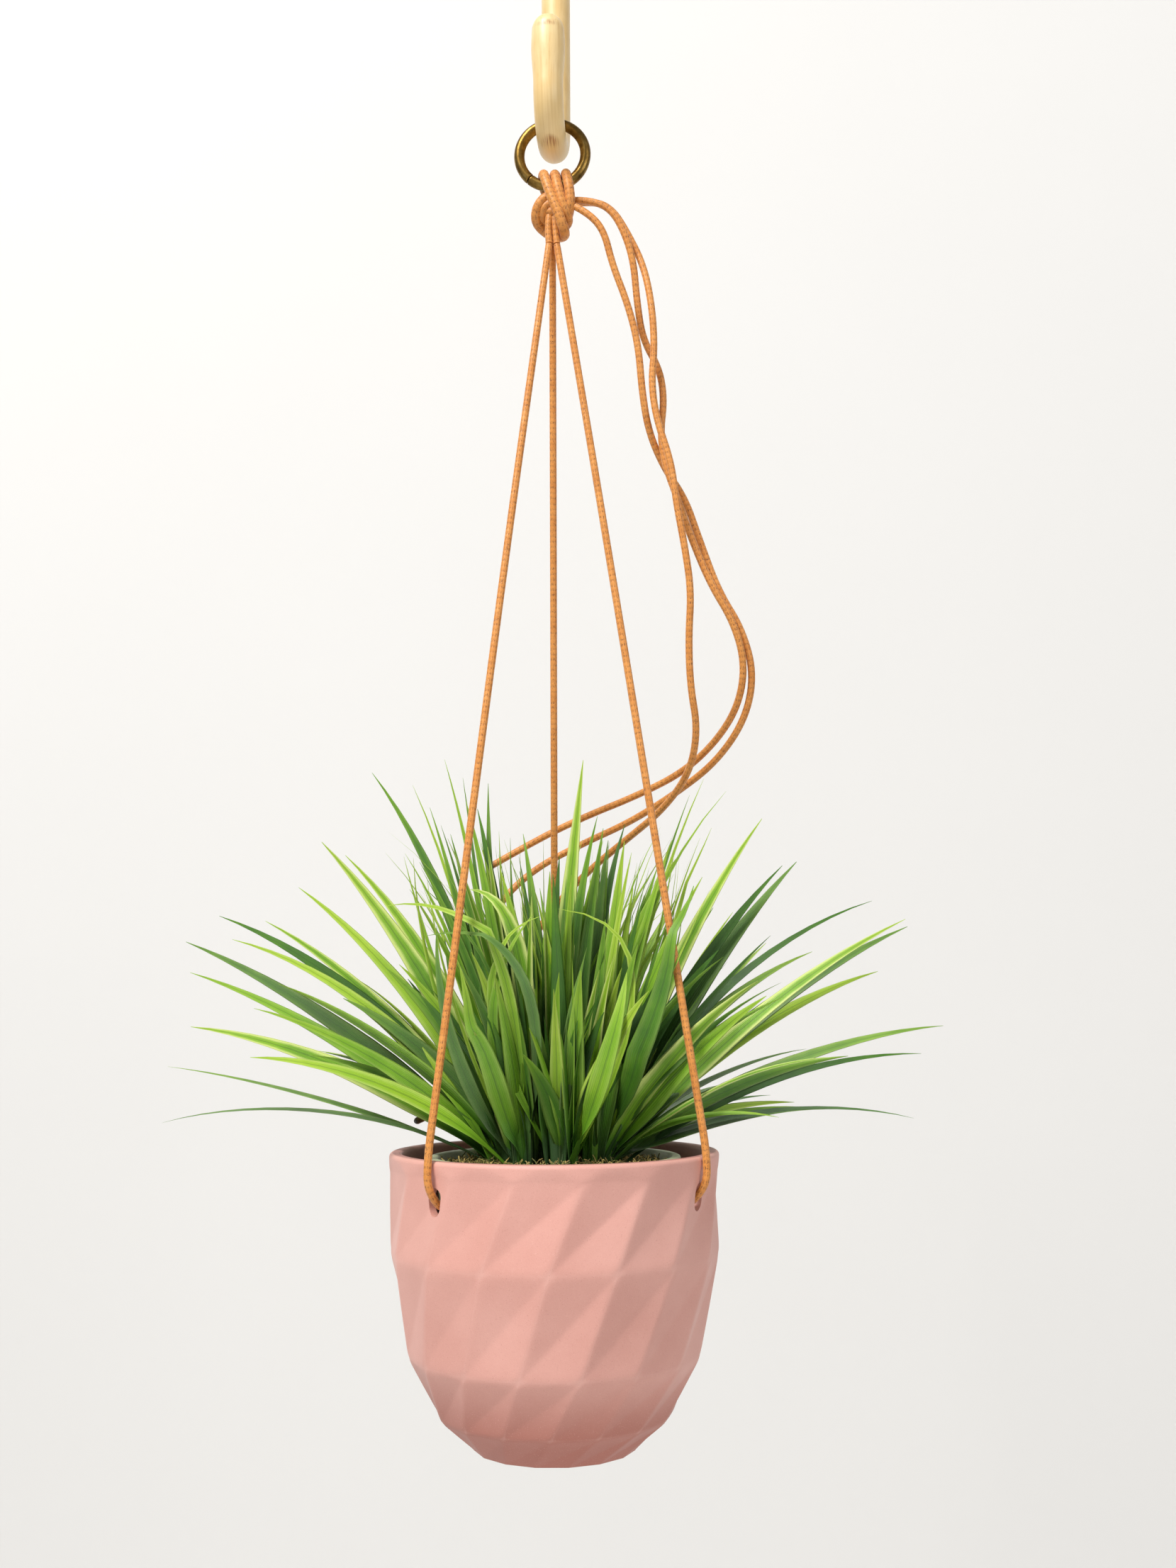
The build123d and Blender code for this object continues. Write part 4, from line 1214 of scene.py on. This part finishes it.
@dataclass
class LinerPot:
    """The plastic liner with its foam and its bed of dried moss."""

    layout: Layout
    sides: int = 128
    lip_width: float = 2.6
    lip_height: float = 4.0
    base_radius: float = 30.8
    wall: float = 1.5
    moss_edge: float = -8.2
    moss_crown: float = -6.4
    moss_under: float = -9.7
    moss_radius: float = 45.6
    moss_sides: int = 120
    sharp_angle: float = 60.0

    def liner(self) -> bpy.types.Object:
        """The liner, its lip rounded."""
        low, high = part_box("liner_pot")
        bottom, top = (low.z - self.layout.rim_z) / MM, (high.z - self.layout.rim_z) / MM
        reach = (high.x - low.x) / 2 / MM
        neck, under = reach - self.lip_width, top - self.lip_height
        profile = [(0, bottom), (self.base_radius - 1.2, bottom), (self.base_radius, bottom + 1.2),
                   (neck, under), (reach - 0.5, under), (reach, under + 0.5),
                   (reach, top - 0.9), (reach - 0.35, top - 0.25), (reach - 0.9, top),
                   (neck - 0.4, top), (neck - 1.1, top - 0.3), (neck - self.wall, top - 1.2),
                   (self.base_radius - self.wall, bottom + self.wall + 0.6),
                   (self.base_radius - self.wall - 0.8, bottom + self.wall),
                   (0, bottom + self.wall)]
        piece = add_object("liner_shell", lathe("liner_shell", self.layout, profile, self.sides))
        piece.data.set_sharp_from_angle(angle=math.radians(self.sharp_angle))
        piece.data.materials.append(SAGE_PLASTIC.make())
        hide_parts("liner_pot")
        return piece

    def moss_tree(self, material: bpy.types.Material) -> ShapeTree:
        """The tree that lumps the bed and plants curled strands all over it."""
        shape = ShapeTree("dried moss")
        density = shape.input("Density", 520000.0)
        length = shape.input("Strand length", 0.0052)
        thick = shape.input("Strand radius", 0.00022)
        lump = shape.input("Lump height", 0.0022)
        seed = shape.input("Seed", 4)
        noise = shape.node("ShaderNodeTexNoise",
                           {"Scale": 130.0, "Detail": 3.0, "Vector": shape.position()}).outputs[0]
        normal = shape.normal()
        upward = shape.fade(shape.split(normal)[2], 0.3, 0.8)
        rise = shape.times(shape.times(shape.minus(noise, 0.45), lump), upward)
        bed = shape.place(shape.entry.outputs[0], offset=shape.join(0.0, 0.0, rise))
        bed = shape.store(bed, "tone", shape.fade(noise, 0.3, 0.8, 0.0, 0.35))
        above = shape.sum("GREATER_THAN", shape.split(shape.normal())[2], 0.4)
        spots = shape.node("GeometryNodeDistributePointsOnFaces",
                           {"Mesh": bed, "Selection": above, "Density": density, "Seed": seed})
        arc = shape.node("GeometryNodeCurveQuadraticBezier",
                         {"Resolution": 4, "Start": (0.0, 0.0, -0.1), "Middle": (0.05, 0.0, 0.55),
                          "End": (0.65, 0.1, 0.6)}).outputs[0]
        ring = shape.node("GeometryNodeCurvePrimitiveCircle",
                          {"Resolution": 3,
                           "Radius": shape.sum("DIVIDE", thick, length)}).outputs[0]
        strand = shape.node("GeometryNodeCurveToMesh",
                            {"Curve": arc, "Profile Curve": ring, "Fill Caps": True}).outputs[0]
        turn = shape.node("FunctionNodeRandomValue",
                          {"Min": (-0.7, -0.7, 0.0), "Max": (0.7, 0.7, math.tau), "Seed": seed},
                          data_type="FLOAT_VECTOR").outputs[0]
        size = shape.node("FunctionNodeRandomValue",
                          {2: 0.45, 3: 1.25, "Seed": shape.plus(seed, 3)},
                          data_type="FLOAT").outputs[1]
        tufts = shape.node("GeometryNodeInstanceOnPoints",
                           {"Points": spots.outputs["Points"], "Instance": strand, "Rotation": turn,
                            "Scale": shape.times(size, length)}).outputs[0]
        tone = shape.node("FunctionNodeRandomValue", {2: 0.15, 3: 1.0, "Seed": shape.plus(seed, 9)},
                          data_type="FLOAT").outputs[1]
        tufts = shape.store(tufts, "tone", tone, domain="INSTANCE")
        whole = shape.node("GeometryNodeJoinGeometry")
        shape.tree.links.new(bed, whole.inputs[0])
        shape.tree.links.new(tufts, whole.inputs[0])
        shape.finish(whole.outputs[0], material)
        return shape

    def moss(self) -> bpy.types.Object:
        """The bed of moss."""
        r, edge, crown = self.moss_radius, self.moss_edge, self.moss_crown
        top = [(r * s, edge + (crown - edge) * (1 - s * s) ** 0.5)
               for s in (1.0, 0.93, 0.86, 0.79, 0.72, 0.65, 0.58, 0.5, 0.42, 0.34, 0.26, 0.18, 0.1)]
        profile = [(0, self.moss_under), (r * 0.5, self.moss_under),
                   (r - 0.4, self.moss_under)] + top
        profile += [(0, crown)]
        bed = lathe("moss_bed", self.layout, profile, self.moss_sides)
        piece = self.moss_tree(MossFinish().make()).run("moss_bed", bed)
        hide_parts("moss_layer")
        return piece

    def build(self) -> list[bpy.types.Object]:
        """Liner and moss, riding on the plant, and the foam's finish."""
        made = [self.liner(), self.moss()]
        for piece in made:
            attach(piece, "plant")
            LOG.info("%s: %d faces", piece.name, len(piece.data.polygons))
        dress("foam_plug", FoamFinish().make())
        return made


# -------------------------------------------------------------------------------------------- grass

class Tone(Enum):
    """The printed colourings of the leaves: tone, margin and dustiness."""

    DEEP = (0.08, 0.0, 0.04)
    SAGE = (0.22, 0.1, 0.2)
    LEAF = (0.34, 0.1, 0.05)
    OLIVE = (0.44, 0.2, 0.25)
    FRESH = (0.60, 0.15, 0.0)
    LIME = (0.84, 0.3, 0.0)
    CREAM = (0.58, 0.9, 0.0)


@dataclass(frozen=True)
class Blade:
    """One leaf: its tip right of the axis, behind it and above the rim, and how it gets there."""

    tip: Point
    width: float
    tone: Tone
    bow: float = 0.12
    via: Point | None = None
    facing: float = 0.75
    look: Point = (-0.1, -1.0, 0.15)


FEATURE_BLADES: list[Blade] = [
    Blade((-152, -22, 12), 5.0, Tone.SAGE, 0.13, facing=0.25),
    Blade((-157, -2, 33), 3.4, Tone.OLIVE, 0.05, facing=0.4),
    Blade((-145, -11, 49), 8.6, Tone.CREAM, 0.10),
    Blade((-152, 8, 71), 6.5, Tone.FRESH, 0.08),
    Blade((-157, 17, 84), 8.0, Tone.SAGE, 0.07),
    Blade((-139, 4, 94), 7.2, Tone.DEEP, 0.12),
    Blade((-131, -4, 84), 6.0, Tone.LIME, 0.15),
    Blade((-121, 9, 92), 7.0, Tone.CREAM, 0.10),
    Blade((-108, 12, 106), 7.5, Tone.LIME, 0.09),
    Blade((-94, -7, 123), 10.0, Tone.CREAM, 0.07),
    Blade((-88, 10, 119), 8.0, Tone.CREAM, 0.10),
    Blade((-78, 14, 154), 6.6, Tone.LEAF, 0.10),
    Blade((-62, 5, 119), 3.0, Tone.FRESH, 0.08),
    Blade((-55, 0, 115), 5.0, Tone.LEAF, 0.08),
    Blade((-48, 10, 131), 3.4, Tone.SAGE, 0.05),
    Blade((-35, -7, 139), 6.4, Tone.FRESH, 0.08),
    Blade((-32, 5, 137), 8.4, Tone.DEEP, 0.09),
    Blade((-28, 8, 148), 6.0, Tone.SAGE, -0.08),
    Blade((0, 24, 119), 8.0, Tone.DEEP, 0.03),
    Blade((12, 1, 156), 10.2, Tone.CREAM, 0.02),
    Blade((29, -5, 122), 9.0, Tone.FRESH, 0.05),
    Blade((32, -9, 117), 5.0, Tone.LIME, 0.06),
    Blade((28, 4, 116), 7.0, Tone.FRESH, 0.03),
    Blade((37, -10, 100), 5.4, Tone.DEEP, 0.04),
    Blade((84, -8, 130), 8.4, Tone.CREAM, 0.06),
    Blade((72, 10, 94), 5.0, Tone.LIME, 0.05),
    Blade((98, 8, 114), 10.0, Tone.SAGE, 0.06),
    Blade((92, 2, 112), 8.0, Tone.DEEP, 0.08),
    Blade((128, 10, 98), 4.6, Tone.DEEP, 0.16),
    Blade((143, 21, 88), 9.2, Tone.SAGE, 0.08),
    Blade((131, 26, 70), 8.4, Tone.LIME, 0.10),
    Blade((140, 0, 90), 7.4, Tone.CREAM, 0.08),
    Blade((155, 12, 48), 6.2, Tone.OLIVE, 0.10),
    Blade((146, 12, 37), 4.4, Tone.DEEP, 0.12),
    Blade((140, -9, 13), 5.0, Tone.DEEP, 0.13, facing=0.3),
    Blade((88, -20, 14), 5.6, Tone.FRESH, 0.16, facing=0.4),
    Blade((84, -25, 60), 10.0, Tone.FRESH, 0.07),
    Blade((104, 18, 78), 7.0, Tone.OLIVE, 0.14),
    Blade((14, -38, 70), 10.6, Tone.FRESH, 0.06),
    Blade((40, -46, 62), 10.0, Tone.LIME, 0.10),
    Blade((31, -33, 69), 8.6, Tone.FRESH, 0.10, via=(24, -36, 38)),
    Blade((-33, -33, 72), 8.6, Tone.FRESH, via=(-22, -27, 34)),
    Blade((-2, -30, 91), 4.2, Tone.LIME, via=(-22, -26, 60)),
    Blade((-6, -23, 92), 5.6, Tone.FRESH, via=(-21, -25, 46)),
    Blade((57, -15, 103), 9.4, Tone.LEAF, 0.07, via=(42, -22, 52)),
    Blade((60, -8, 107), 7.4, Tone.FRESH, 0.05),
    Blade((52, -2, 118), 8.4, Tone.FRESH, 0.12),
    Blade((35, -25, 80), 9.6, Tone.LEAF, 0.05),
    Blade((46, -22, 74), 8.4, Tone.DEEP, 0.06),
    Blade((4, -24, 94), 2.8, Tone.LIME, via=(33, -20, 66)),
    Blade((-48, -24, 84), 4.6, Tone.SAGE, via=(-8, -36, 66)),
    Blade((-64, -22, 96), 4.6, Tone.LIME, via=(-20, -30, 74)),
    Blade((-33, -8, 103), 9.0, Tone.CREAM, 0.16, via=(-12, -14, 74)),
    Blade((-36, 5, 106), 8.0, Tone.SAGE, 0.04),
    Blade((-12, -4, 96), 9.0, Tone.DEEP, 0.04),
    Blade((-44, -22, 88), 6.0, Tone.SAGE, 0.02, via=(-36, -24, 40)),
    Blade((-20, -18, 84), 10.0, Tone.DEEP, 0.05),
    Blade((-8, -22, 66), 9.6, Tone.LEAF, 0.05),
    Blade((-34, -20, 60), 9.6, Tone.DEEP, 0.06),
    Blade((-52, -18, 62), 9.0, Tone.DEEP, 0.08),
    Blade((4, -20, 88), 9.0, Tone.DEEP, 0.03),
    Blade((22, -18, 90), 9.4, Tone.LEAF, 0.03),
    Blade((-66, -12, 72), 9.4, Tone.LEAF, 0.09),
    Blade((-84, -8, 60), 9.0, Tone.SAGE, 0.10),
    Blade((66, -12, 78), 9.4, Tone.DEEP, 0.07),
    Blade((-22, 0, 112), 8.4, Tone.FRESH, 0.05),
    Blade((20, 2, 128), 8.0, Tone.LEAF, 0.04),
    Blade((-1, -6, 110), 9.4, Tone.FRESH, 0.03),
    Blade((42, 0, 112), 7.6, Tone.LEAF, 0.05),
    Blade((61, 4, 148), 2.8, Tone.LIME, 0.05),
    Blade((70, -2, 142), 2.6, Tone.FRESH, 0.14),
    Blade((55, 10, 142), 3.0, Tone.LEAF, 0.04),
    Blade((64, 6, 128), 3.4, Tone.LIME, 0.03),
    Blade((-46, 6, 158), 3.4, Tone.FRESH, 0.05),
    Blade((-38, 4, 150), 3.0, Tone.SAGE, 0.03),
    Blade((-60, 10, 148), 2.8, Tone.LIME, 0.06),
    Blade((-52, 6, 138), 4.4, Tone.LEAF, 0.05),
    Blade((-42, -2, 126), 5.4, Tone.LEAF, 0.04),
    Blade((48, -6, 122), 6.4, Tone.FRESH, 0.04),
]


@dataclass
class GrassPlant:
    """Seven moulded sprays of leaves: the named leaves of the outline and a seeded filling."""

    layout: Layout
    lines: dict[str, np.ndarray]
    cord_phases: dict[str, float]
    sprays: int = 6
    circle: float = 14.0
    first_phase: float = 16.0
    root_height: float = -6.5
    seed: int = 11
    clear: float = 3.4
    lean: float = 9.0
    lift: float = 85.0
    passes: int = 3
    cord_slack: float = 5.0
    widest_by_cord: float = 2.2
    widest_by_tail: float = 4.5
    cord_room: float = 1.7
    middle_circle: float = 24.0
    front_facing: float = 0.35
    filling: tuple[tuple[str, int], ...] = (("low", 34), ("middle", 60), ("high", 44),
                                            ("front", 24), ("wisp", 110))

    def blade_tree(self, material: bpy.types.Material) -> ShapeTree:
        """The tree that gives every spine a folded leaf section."""
        shape = ShapeTree("grass blades")
        fold = shape.input("Fold", 0.26)
        thickness = shape.input("Thickness", 0.085)
        curve = shape.node("GeometryNodeMeshToCurve", {0: shape.entry.outputs[0]}).outputs[0]
        curve = shape.node("GeometryNodeSetCurveNormal",
                           {"Curve": curve, "Normal": shape.named("side", "FLOAT_VECTOR")},
                           mode="FREE").outputs[0]
        section = shape.node("GeometryNodeCurvePrimitiveCircle",
                             {"Resolution": 10, "Radius": 1.0}).outputs[0]
        x, y, _ = shape.split(shape.position())
        lift = shape.times(shape.sum("POWER", shape.sum("ABSOLUTE", x), 1.4), fold)
        section = shape.store(section, "across", x)
        rise = shape.plus(shape.times(y, thickness), lift)
        section = shape.place(section, position=shape.join(x, rise, 0.0))
        blades = shape.node("GeometryNodeCurveToMesh",
                            {"Curve": curve, "Profile Curve": section, "Scale": shape.named("half"),
                             "Fill Caps": True}).outputs[0]
        shape.finish(blades, material)
        return shape

    def spray_at(self, number: int) -> np.ndarray:
        """The foot of a spray, in millimetres; number 0 is the middle one."""
        if number == 0:
            return np.array([0.0, 0.0, self.root_height])
        a = math.radians(self.first_phase + (number - 1) * 360.0 / self.sprays)
        return np.array([self.circle * math.sin(a), -self.circle * math.cos(a), self.root_height])

    def home(self, tip: Point) -> int:
        """The spray that a leaf belongs to."""
        if math.hypot(tip[0], tip[1]) < self.middle_circle:
            return 0
        away = [np.linalg.norm(self.spray_at(n)[:2] * 1.4 - np.array(tip[:2]) * 0.2)
                for n in range(1, self.sprays + 1)]
        return 1 + int(np.argmin(away))

    def spine(self, blade: Blade, root: np.ndarray, count: int) -> np.ndarray:
        """Points along the middle of a leaf.

        Args:
            blade: the leaf.
            root: its foot.
            count: how many points.

        Returns:
            The points in millimetres.
        """
        tip = np.array(blade.tip, float)
        t = np.linspace(0, 1, count)[:, None]
        if blade.via is not None:
            control = 2 * np.array(blade.via, float) - (root + tip) / 2
            return (1 - t) ** 2 * root + 2 * t * (1 - t) * control + t * t * tip
        chord = tip - root
        length = np.linalg.norm(chord)
        way = chord / length
        lift = np.array([0, 0, 1.0]) - way * way[2]
        lift = lift / max(np.linalg.norm(lift), 0.25) * blade.bow * length
        first, second = root + chord * 0.30 + lift, root + chord * 0.72 + lift * 0.9
        return ((1 - t) ** 3 * root + 3 * t * (1 - t) ** 2 * first + 3 * t * t * (1 - t) * second
                + t ** 3 * tip)

    def keep_clear(self, spine: np.ndarray, half: np.ndarray) -> np.ndarray:
        """Moves a leaf aside where it would touch a cord, at rest or as the plant is lifted out.

        Args:
            spine: its points.
            half: half its width at each point.

        Returns:
            The points, moved smoothly.
        """
        moved = spine.copy()
        for phase in self.cord_phases.values():
            a = math.radians(phase)
            out, side = np.array([math.sin(a), -math.cos(a)]), np.array([math.cos(a), math.sin(a)])
            reach, aside = moved[:, :2] @ out, moved[:, :2] @ side
            here, lifted = (CORD_BESIDE - CORD_GATHER * np.clip(moved[:, 2] + up, 0, CORD_RISE)
                            / CORD_RISE for up in (0.0, self.lift))
            need = self.clear + np.minimum(half, self.widest_by_cord)
            inside = (reach > lifted - self.cord_slack) & (reach < here + self.cord_slack)
            inside &= np.abs(aside) < need
            side_sign = 1.0 if aside[inside].sum() >= 0 else -1.0
            push = np.where(inside, side_sign * need - aside, 0.0)
            moved[:, :2] += self.spread(push)[:, None] * side
        tails = [line for name, line in self.lines.items() if name not in self.cord_phases]
        lifts, rim = (self.lift, 0.0), np.array(self.layout.hung((0, 0, 0)))
        for line, lift in [(line, lift) for line in tails for lift in lifts] * self.passes:
            cord = (line[::3] - rim) / MM - np.array([0.0, 0.0, lift])
            gap = moved[:, None, :] - cord[None, :, :]
            away = np.linalg.norm(gap, axis=2)
            nearest = away.argmin(axis=1)
            index = np.arange(len(moved))
            need = self.clear * 0.7 + np.minimum(half, self.widest_by_tail)
            short = np.clip(need - away[index, nearest], 0, None)
            way = gap[index, nearest] / np.maximum(away[index, nearest], 0.3)[:, None]
            for axis in range(3):
                moved[:, axis] += self.spread(short * way[:, axis])
        moved[0] = spine[0]
        return moved

    def crosses(self, spine: np.ndarray, half: np.ndarray) -> bool:
        """Whether a leaf would cut through a cord or a tail, at rest or lifted out.

        Args:
            spine: its points.
            half: half its width at each point.

        Returns:
            True if it would.
        """
        fine = np.linspace(0, len(spine) - 1, 4 * len(spine))
        index = np.arange(len(spine))
        path = np.stack([np.interp(fine, index, spine[:, axis]) for axis in range(3)], axis=1)
        room = self.cord_room + np.interp(fine, index, half) * 0.8
        for line in self.lines.values():
            cord = (line[::3] - np.array(self.layout.hung((0, 0, 0)))) / MM
            for lift in (0.0, self.lift):
                away = np.linalg.norm(path[:, None, :] - (cord - np.array([0.0, 0.0, lift]))[None],
                                      axis=2)
                if (away.min(axis=1) < room).any():
                    return True
        return False

    @staticmethod
    def spread(push: np.ndarray) -> np.ndarray:
        """Eases a push along the leaf, keeping its greatest values."""
        wide = push.copy()
        for _ in range(3):
            edge = np.pad(wide, 1, mode="edge")
            soft = (edge[:-2] + edge[2:]) / 2
            wide = np.where(np.abs(wide) > np.abs(soft), wide, soft * 0.9)
        wide[0] = 0.0
        return wide

    def filling_blades(self) -> list[Blade]:
        """The seeded leaves that fill the plant all round."""
        dice = random.Random(self.seed)
        tones = [Tone.DEEP, Tone.SAGE, Tone.LEAF, Tone.LEAF, Tone.FRESH, Tone.FRESH, Tone.LIME,
                 Tone.CREAM]
        made = []
        for kind, count in self.filling:
            for k in range(count):
                phase = 360.0 * (k + dice.random() * 0.9) / count + 55
                tone = dice.choice(tones)
                width, bow = dice.uniform(6.0, 9.0), dice.uniform(0.05, 0.13)
                if kind == "low":
                    phase = 62 + 236 * (k + dice.random()) / count
                    reach, high = dice.uniform(92, 128), dice.uniform(12, 66)
                    high = max(high, 38) if phase > 235 else high
                elif kind == "middle":
                    reach, high = dice.uniform(48, 88), dice.uniform(62, 104)
                    if math.cos(math.radians(phase)) > self.front_facing:
                        reach, high = reach * 0.5, high * 0.75
                elif kind == "high":
                    reach, high = dice.uniform(14, 46), dice.uniform(96, 136)
                    if math.cos(math.radians(phase)) > self.front_facing:
                        reach, high = reach * 0.6, high * 0.8
                elif kind == "front":
                    phase = -62 + 124 * (k + dice.random()) / count
                    reach, high = dice.uniform(24, 44), dice.uniform(34, 62)
                    width = dice.uniform(7, 9.5)
                    tone = dice.choice([Tone.DEEP, Tone.LEAF, Tone.DEEP, Tone.SAGE])
                else:
                    phase = dice.choice([dice.uniform(95, 170), dice.uniform(-160, -80),
                                         dice.uniform(60, 300)])
                    reach, high = dice.uniform(28, 74), dice.uniform(92, 132)
                    width, bow = dice.uniform(1.6, 3.0), dice.uniform(-0.1, 0.22)
                    tone = dice.choice([Tone.FRESH, Tone.LIME, Tone.LIME, Tone.LEAF])
                a = math.radians(phase)
                spin = dice.uniform(0, math.tau)
                made.append(Blade((reach * math.sin(a), -reach * math.cos(a), high), width,
                                  tone, bow, None, dice.uniform(0.2, 0.8),
                                  (math.cos(spin), math.sin(spin), 0.2)))
        return made

    def spray_mesh(self, number: int, blades: list[Blade], dice: random.Random) -> bpy.types.Mesh:
        """The spines of one spray, with the facts of each leaf stored at their points."""
        points, edges = [], []
        facts: dict[str,
                    list] = {n: [] for n in ("half", "tone", "margin", "dusty", "along", "side")}
        for blade in blades:
            spin, off = dice.uniform(0, math.tau), dice.uniform(0.3, 5.2)
            lean = np.array([blade.tip[0], blade.tip[1] * 0.6, 0.0]) / 130.0 * self.lean
            foot = np.array([off * math.cos(spin), off * math.sin(spin), 0.0])
            root = self.spray_at(number) + foot + lean
            count = 11 if blade.width < 3 else 17
            t = np.linspace(0, 1, count)
            rise = np.clip(t / 0.4, 0, 1)
            shape = 0.60 + 0.40 * rise * rise * (3 - 2 * rise)
            fall = np.clip((t - 0.38) / 0.62, 0, 1) ** 1.2
            half = blade.width / 2 * shape * (1 - fall * 0.975)
            spine = self.keep_clear(self.spine(blade, root, count), half)
            drift = dice.uniform(-0.07, 0.07)
            if blade not in FEATURE_BLADES and self.crosses(spine, half):
                continue
            tangent = np.gradient(spine, axis=0)
            tangent /= np.linalg.norm(tangent, axis=1)[:, None]
            natural = np.array([0, 0, 1.0]) - tangent * tangent[:, 2:3]
            look = np.array(blade.look) / np.linalg.norm(blade.look)
            wanted = look - tangent * (tangent @ look)[:, None]
            share = blade.facing * np.clip(t / 0.3, 0.35, 1)[:, None]
            face = natural * (1 - share) + wanted * share
            face /= np.maximum(np.linalg.norm(face, axis=1), 1e-6)[:, None]
            side = np.cross(face, tangent)
            start = len(points)
            points += [self.layout.hung(tuple(p)) for p in spine]
            edges += [(start + i, start + i + 1) for i in range(count - 1)]
            tone, margin, dusty = blade.tone.value
            facts["half"] += list(half * MM)
            facts["along"] += list(t)
            facts["side"] += list(side)
            for name, value in (("tone", max(0.0, tone + drift)), ("margin", margin),
                                ("dusty", dusty)):
                facts[name] += [value] * count
        mesh = mesh_from("spines", points, edges)
        for name, values in facts.items():
            kind, key = ("FLOAT_VECTOR", "vector") if name == "side" else ("FLOAT", "value")
            stored = mesh.attributes.new(name, kind, "POINT")
            stored.data.foreach_set(key, np.array(values, np.float32).ravel())
        return mesh

    def build(self) -> list[bpy.types.Object]:
        """Every spray, riding on the plant, and the finish of the stems."""
        tree = self.blade_tree(GrassFinish().make())
        dice = random.Random(self.seed + 1)
        groups: dict[int, list[Blade]] = {n: [] for n in range(self.sprays + 1)}
        for blade in FEATURE_BLADES + self.filling_blades():
            groups[self.home(blade.tip)].append(blade)
        made = []
        for number, blades in groups.items():
            piece = tree.run(f"grass_tuft_{number + 1}", self.spray_mesh(number, blades, dice))
            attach(piece, "plant")
            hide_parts(f"grass_spray_{number + 1}")
            LOG.info("%s: %d leaves, %d faces", piece.name, len(blades), len(piece.data.polygons))
            made.append(piece)
        stem = STEM_PLASTIC.make()
        for number in range(self.sprays + 1):
            dress(f"spray_stem_{number + 1}", stem)
        return made


# -------------------------------------------------------------------------------------------- stage

@dataclass
class Studio:
    """A pale floor and wall, soft light, and the camera."""

    layout: Layout
    floor_drop: float = 0.95
    wall_back: float = 0.75
    lens: float = 38.44
    camera_from_rim: Point = (67.0, -673.2, 56.4)
    turn: float = 4.5
    pitch: float = 7.56
    roll: float = -0.28
    cove: float = 0.35
    half_width: float = 2.2
    floor_front: float = 1.6
    wall_height: float = 3.2
    daylight: tuple = (0.97, 0.98, 1.0, 1.0)
    daylight_strength: float = 0.24

    def backdrop(self) -> None:
        """The floor and the wall, joined by a cove."""
        floor = self.layout.rim_z - self.floor_drop
        back, cove = self.layout.pot_y + self.wall_back, self.cove
        section = [(self.layout.pot_y - self.floor_front, floor), (back - cove, floor)]
        section += [(back - cove * (1 - math.sin(a)), floor + cove * (1 - math.cos(a)))
                    for a in (math.pi / 2 * k / 12 for k in range(1, 13))]
        section += [(back, floor + self.wall_height)]
        points = [(x, y, z) for x in (-self.half_width, self.half_width) for y, z in section]
        n = len(section)
        faces = [(i, n + i, n + i + 1, i + 1) for i in range(n - 1)]
        mesh = mesh_from("backdrop", points, faces=faces)
        mesh.shade_smooth()
        piece = add_object("backdrop", mesh)
        mesh.materials.append(WallFinish("pale wall").make())

    def light(self, name: str, at: Point, aim: Point, size: float, power: float,
              colour: tuple = (1.0, 1.0, 1.0)) -> None:
        """One soft square light.

        Args:
            name: its name.
            at: where it stands, in metres from the pot's rim.
            aim: what it faces, likewise.
            size: its side.
            power: its power in watts.
            colour: its tint.
        """
        data = bpy.data.lights.new(name, "AREA")
        data.size, data.energy, data.color = size, power, colour
        lamp = placed(name, data)
        rim = self.layout.hung((0, 0, 0))
        lamp.location = rim + Vector(at)
        lamp.rotation_euler = (Vector(aim) - Vector(at)).to_track_quat("-Z", "Y").to_euler()

    def camera(self) -> None:
        """The camera, a little above the rim, looking slightly up."""
        data = bpy.data.cameras.new("camera")
        data.lens, data.sensor_width = self.lens, 36.0
        data.clip_start, data.clip_end = 0.01, 20.0
        eye = placed("camera", data)
        eye.location = self.layout.hung(self.camera_from_rim)
        turn, pitch = math.radians(self.turn), math.radians(self.pitch)
        way = Vector((-math.sin(turn) * math.cos(pitch), math.cos(turn) * math.cos(pitch),
                      math.sin(pitch)))
        level = way.to_track_quat("-Z", "Y").to_matrix()
        eye.rotation_euler = (level @ Matrix.Rotation(math.radians(self.roll), 3, "Z")).to_euler()
        bpy.context.scene.camera = eye

    def build(self) -> None:
        """Everything round the planter."""
        self.backdrop()
        self.light("key", (-1.15, -1.75, 2.7), (0, 0, 0.1), 1.1, 124.0, (1.0, 0.985, 0.96))
        self.light("fill", (2.0, -1.7, 0.9), (0, 0, 0.1), 1.8, 22.0, (1.0, 0.99, 0.98))
        self.light("wall wash", (-0.5, -1.2, -0.4), (-0.1, 0.75, -0.3), 2.0, 6.0)
        world = bpy.data.worlds.new("pale room")
        world.use_nodes = True
        back = world.node_tree.nodes["Background"]
        back.inputs[0].default_value = self.daylight
        back.inputs[1].default_value = self.daylight_strength
        bpy.context.scene.world = world
        bpy.context.scene.view_settings.view_transform = "Standard"
        self.camera()


# -------------------------------------------------------------------------------------- the planter


def main() -> None:
    """Builds every part of the planter and the stage."""
    logging.basicConfig(level=logging.INFO, format="%(name)s: %(message)s")
    layout = Layout.read()
    HookAndRing(layout).build()
    cords = CordSet(layout, CordTree(WaxedCordFinish().make()))
    cords.build()
    FacetedPot(layout).build(cords.phases)
    LinerPot(layout).build()
    GrassPlant(layout, cords.lines(), cords.phases).build()
    Studio(layout).build()


if __name__ == "__main__":
    main()
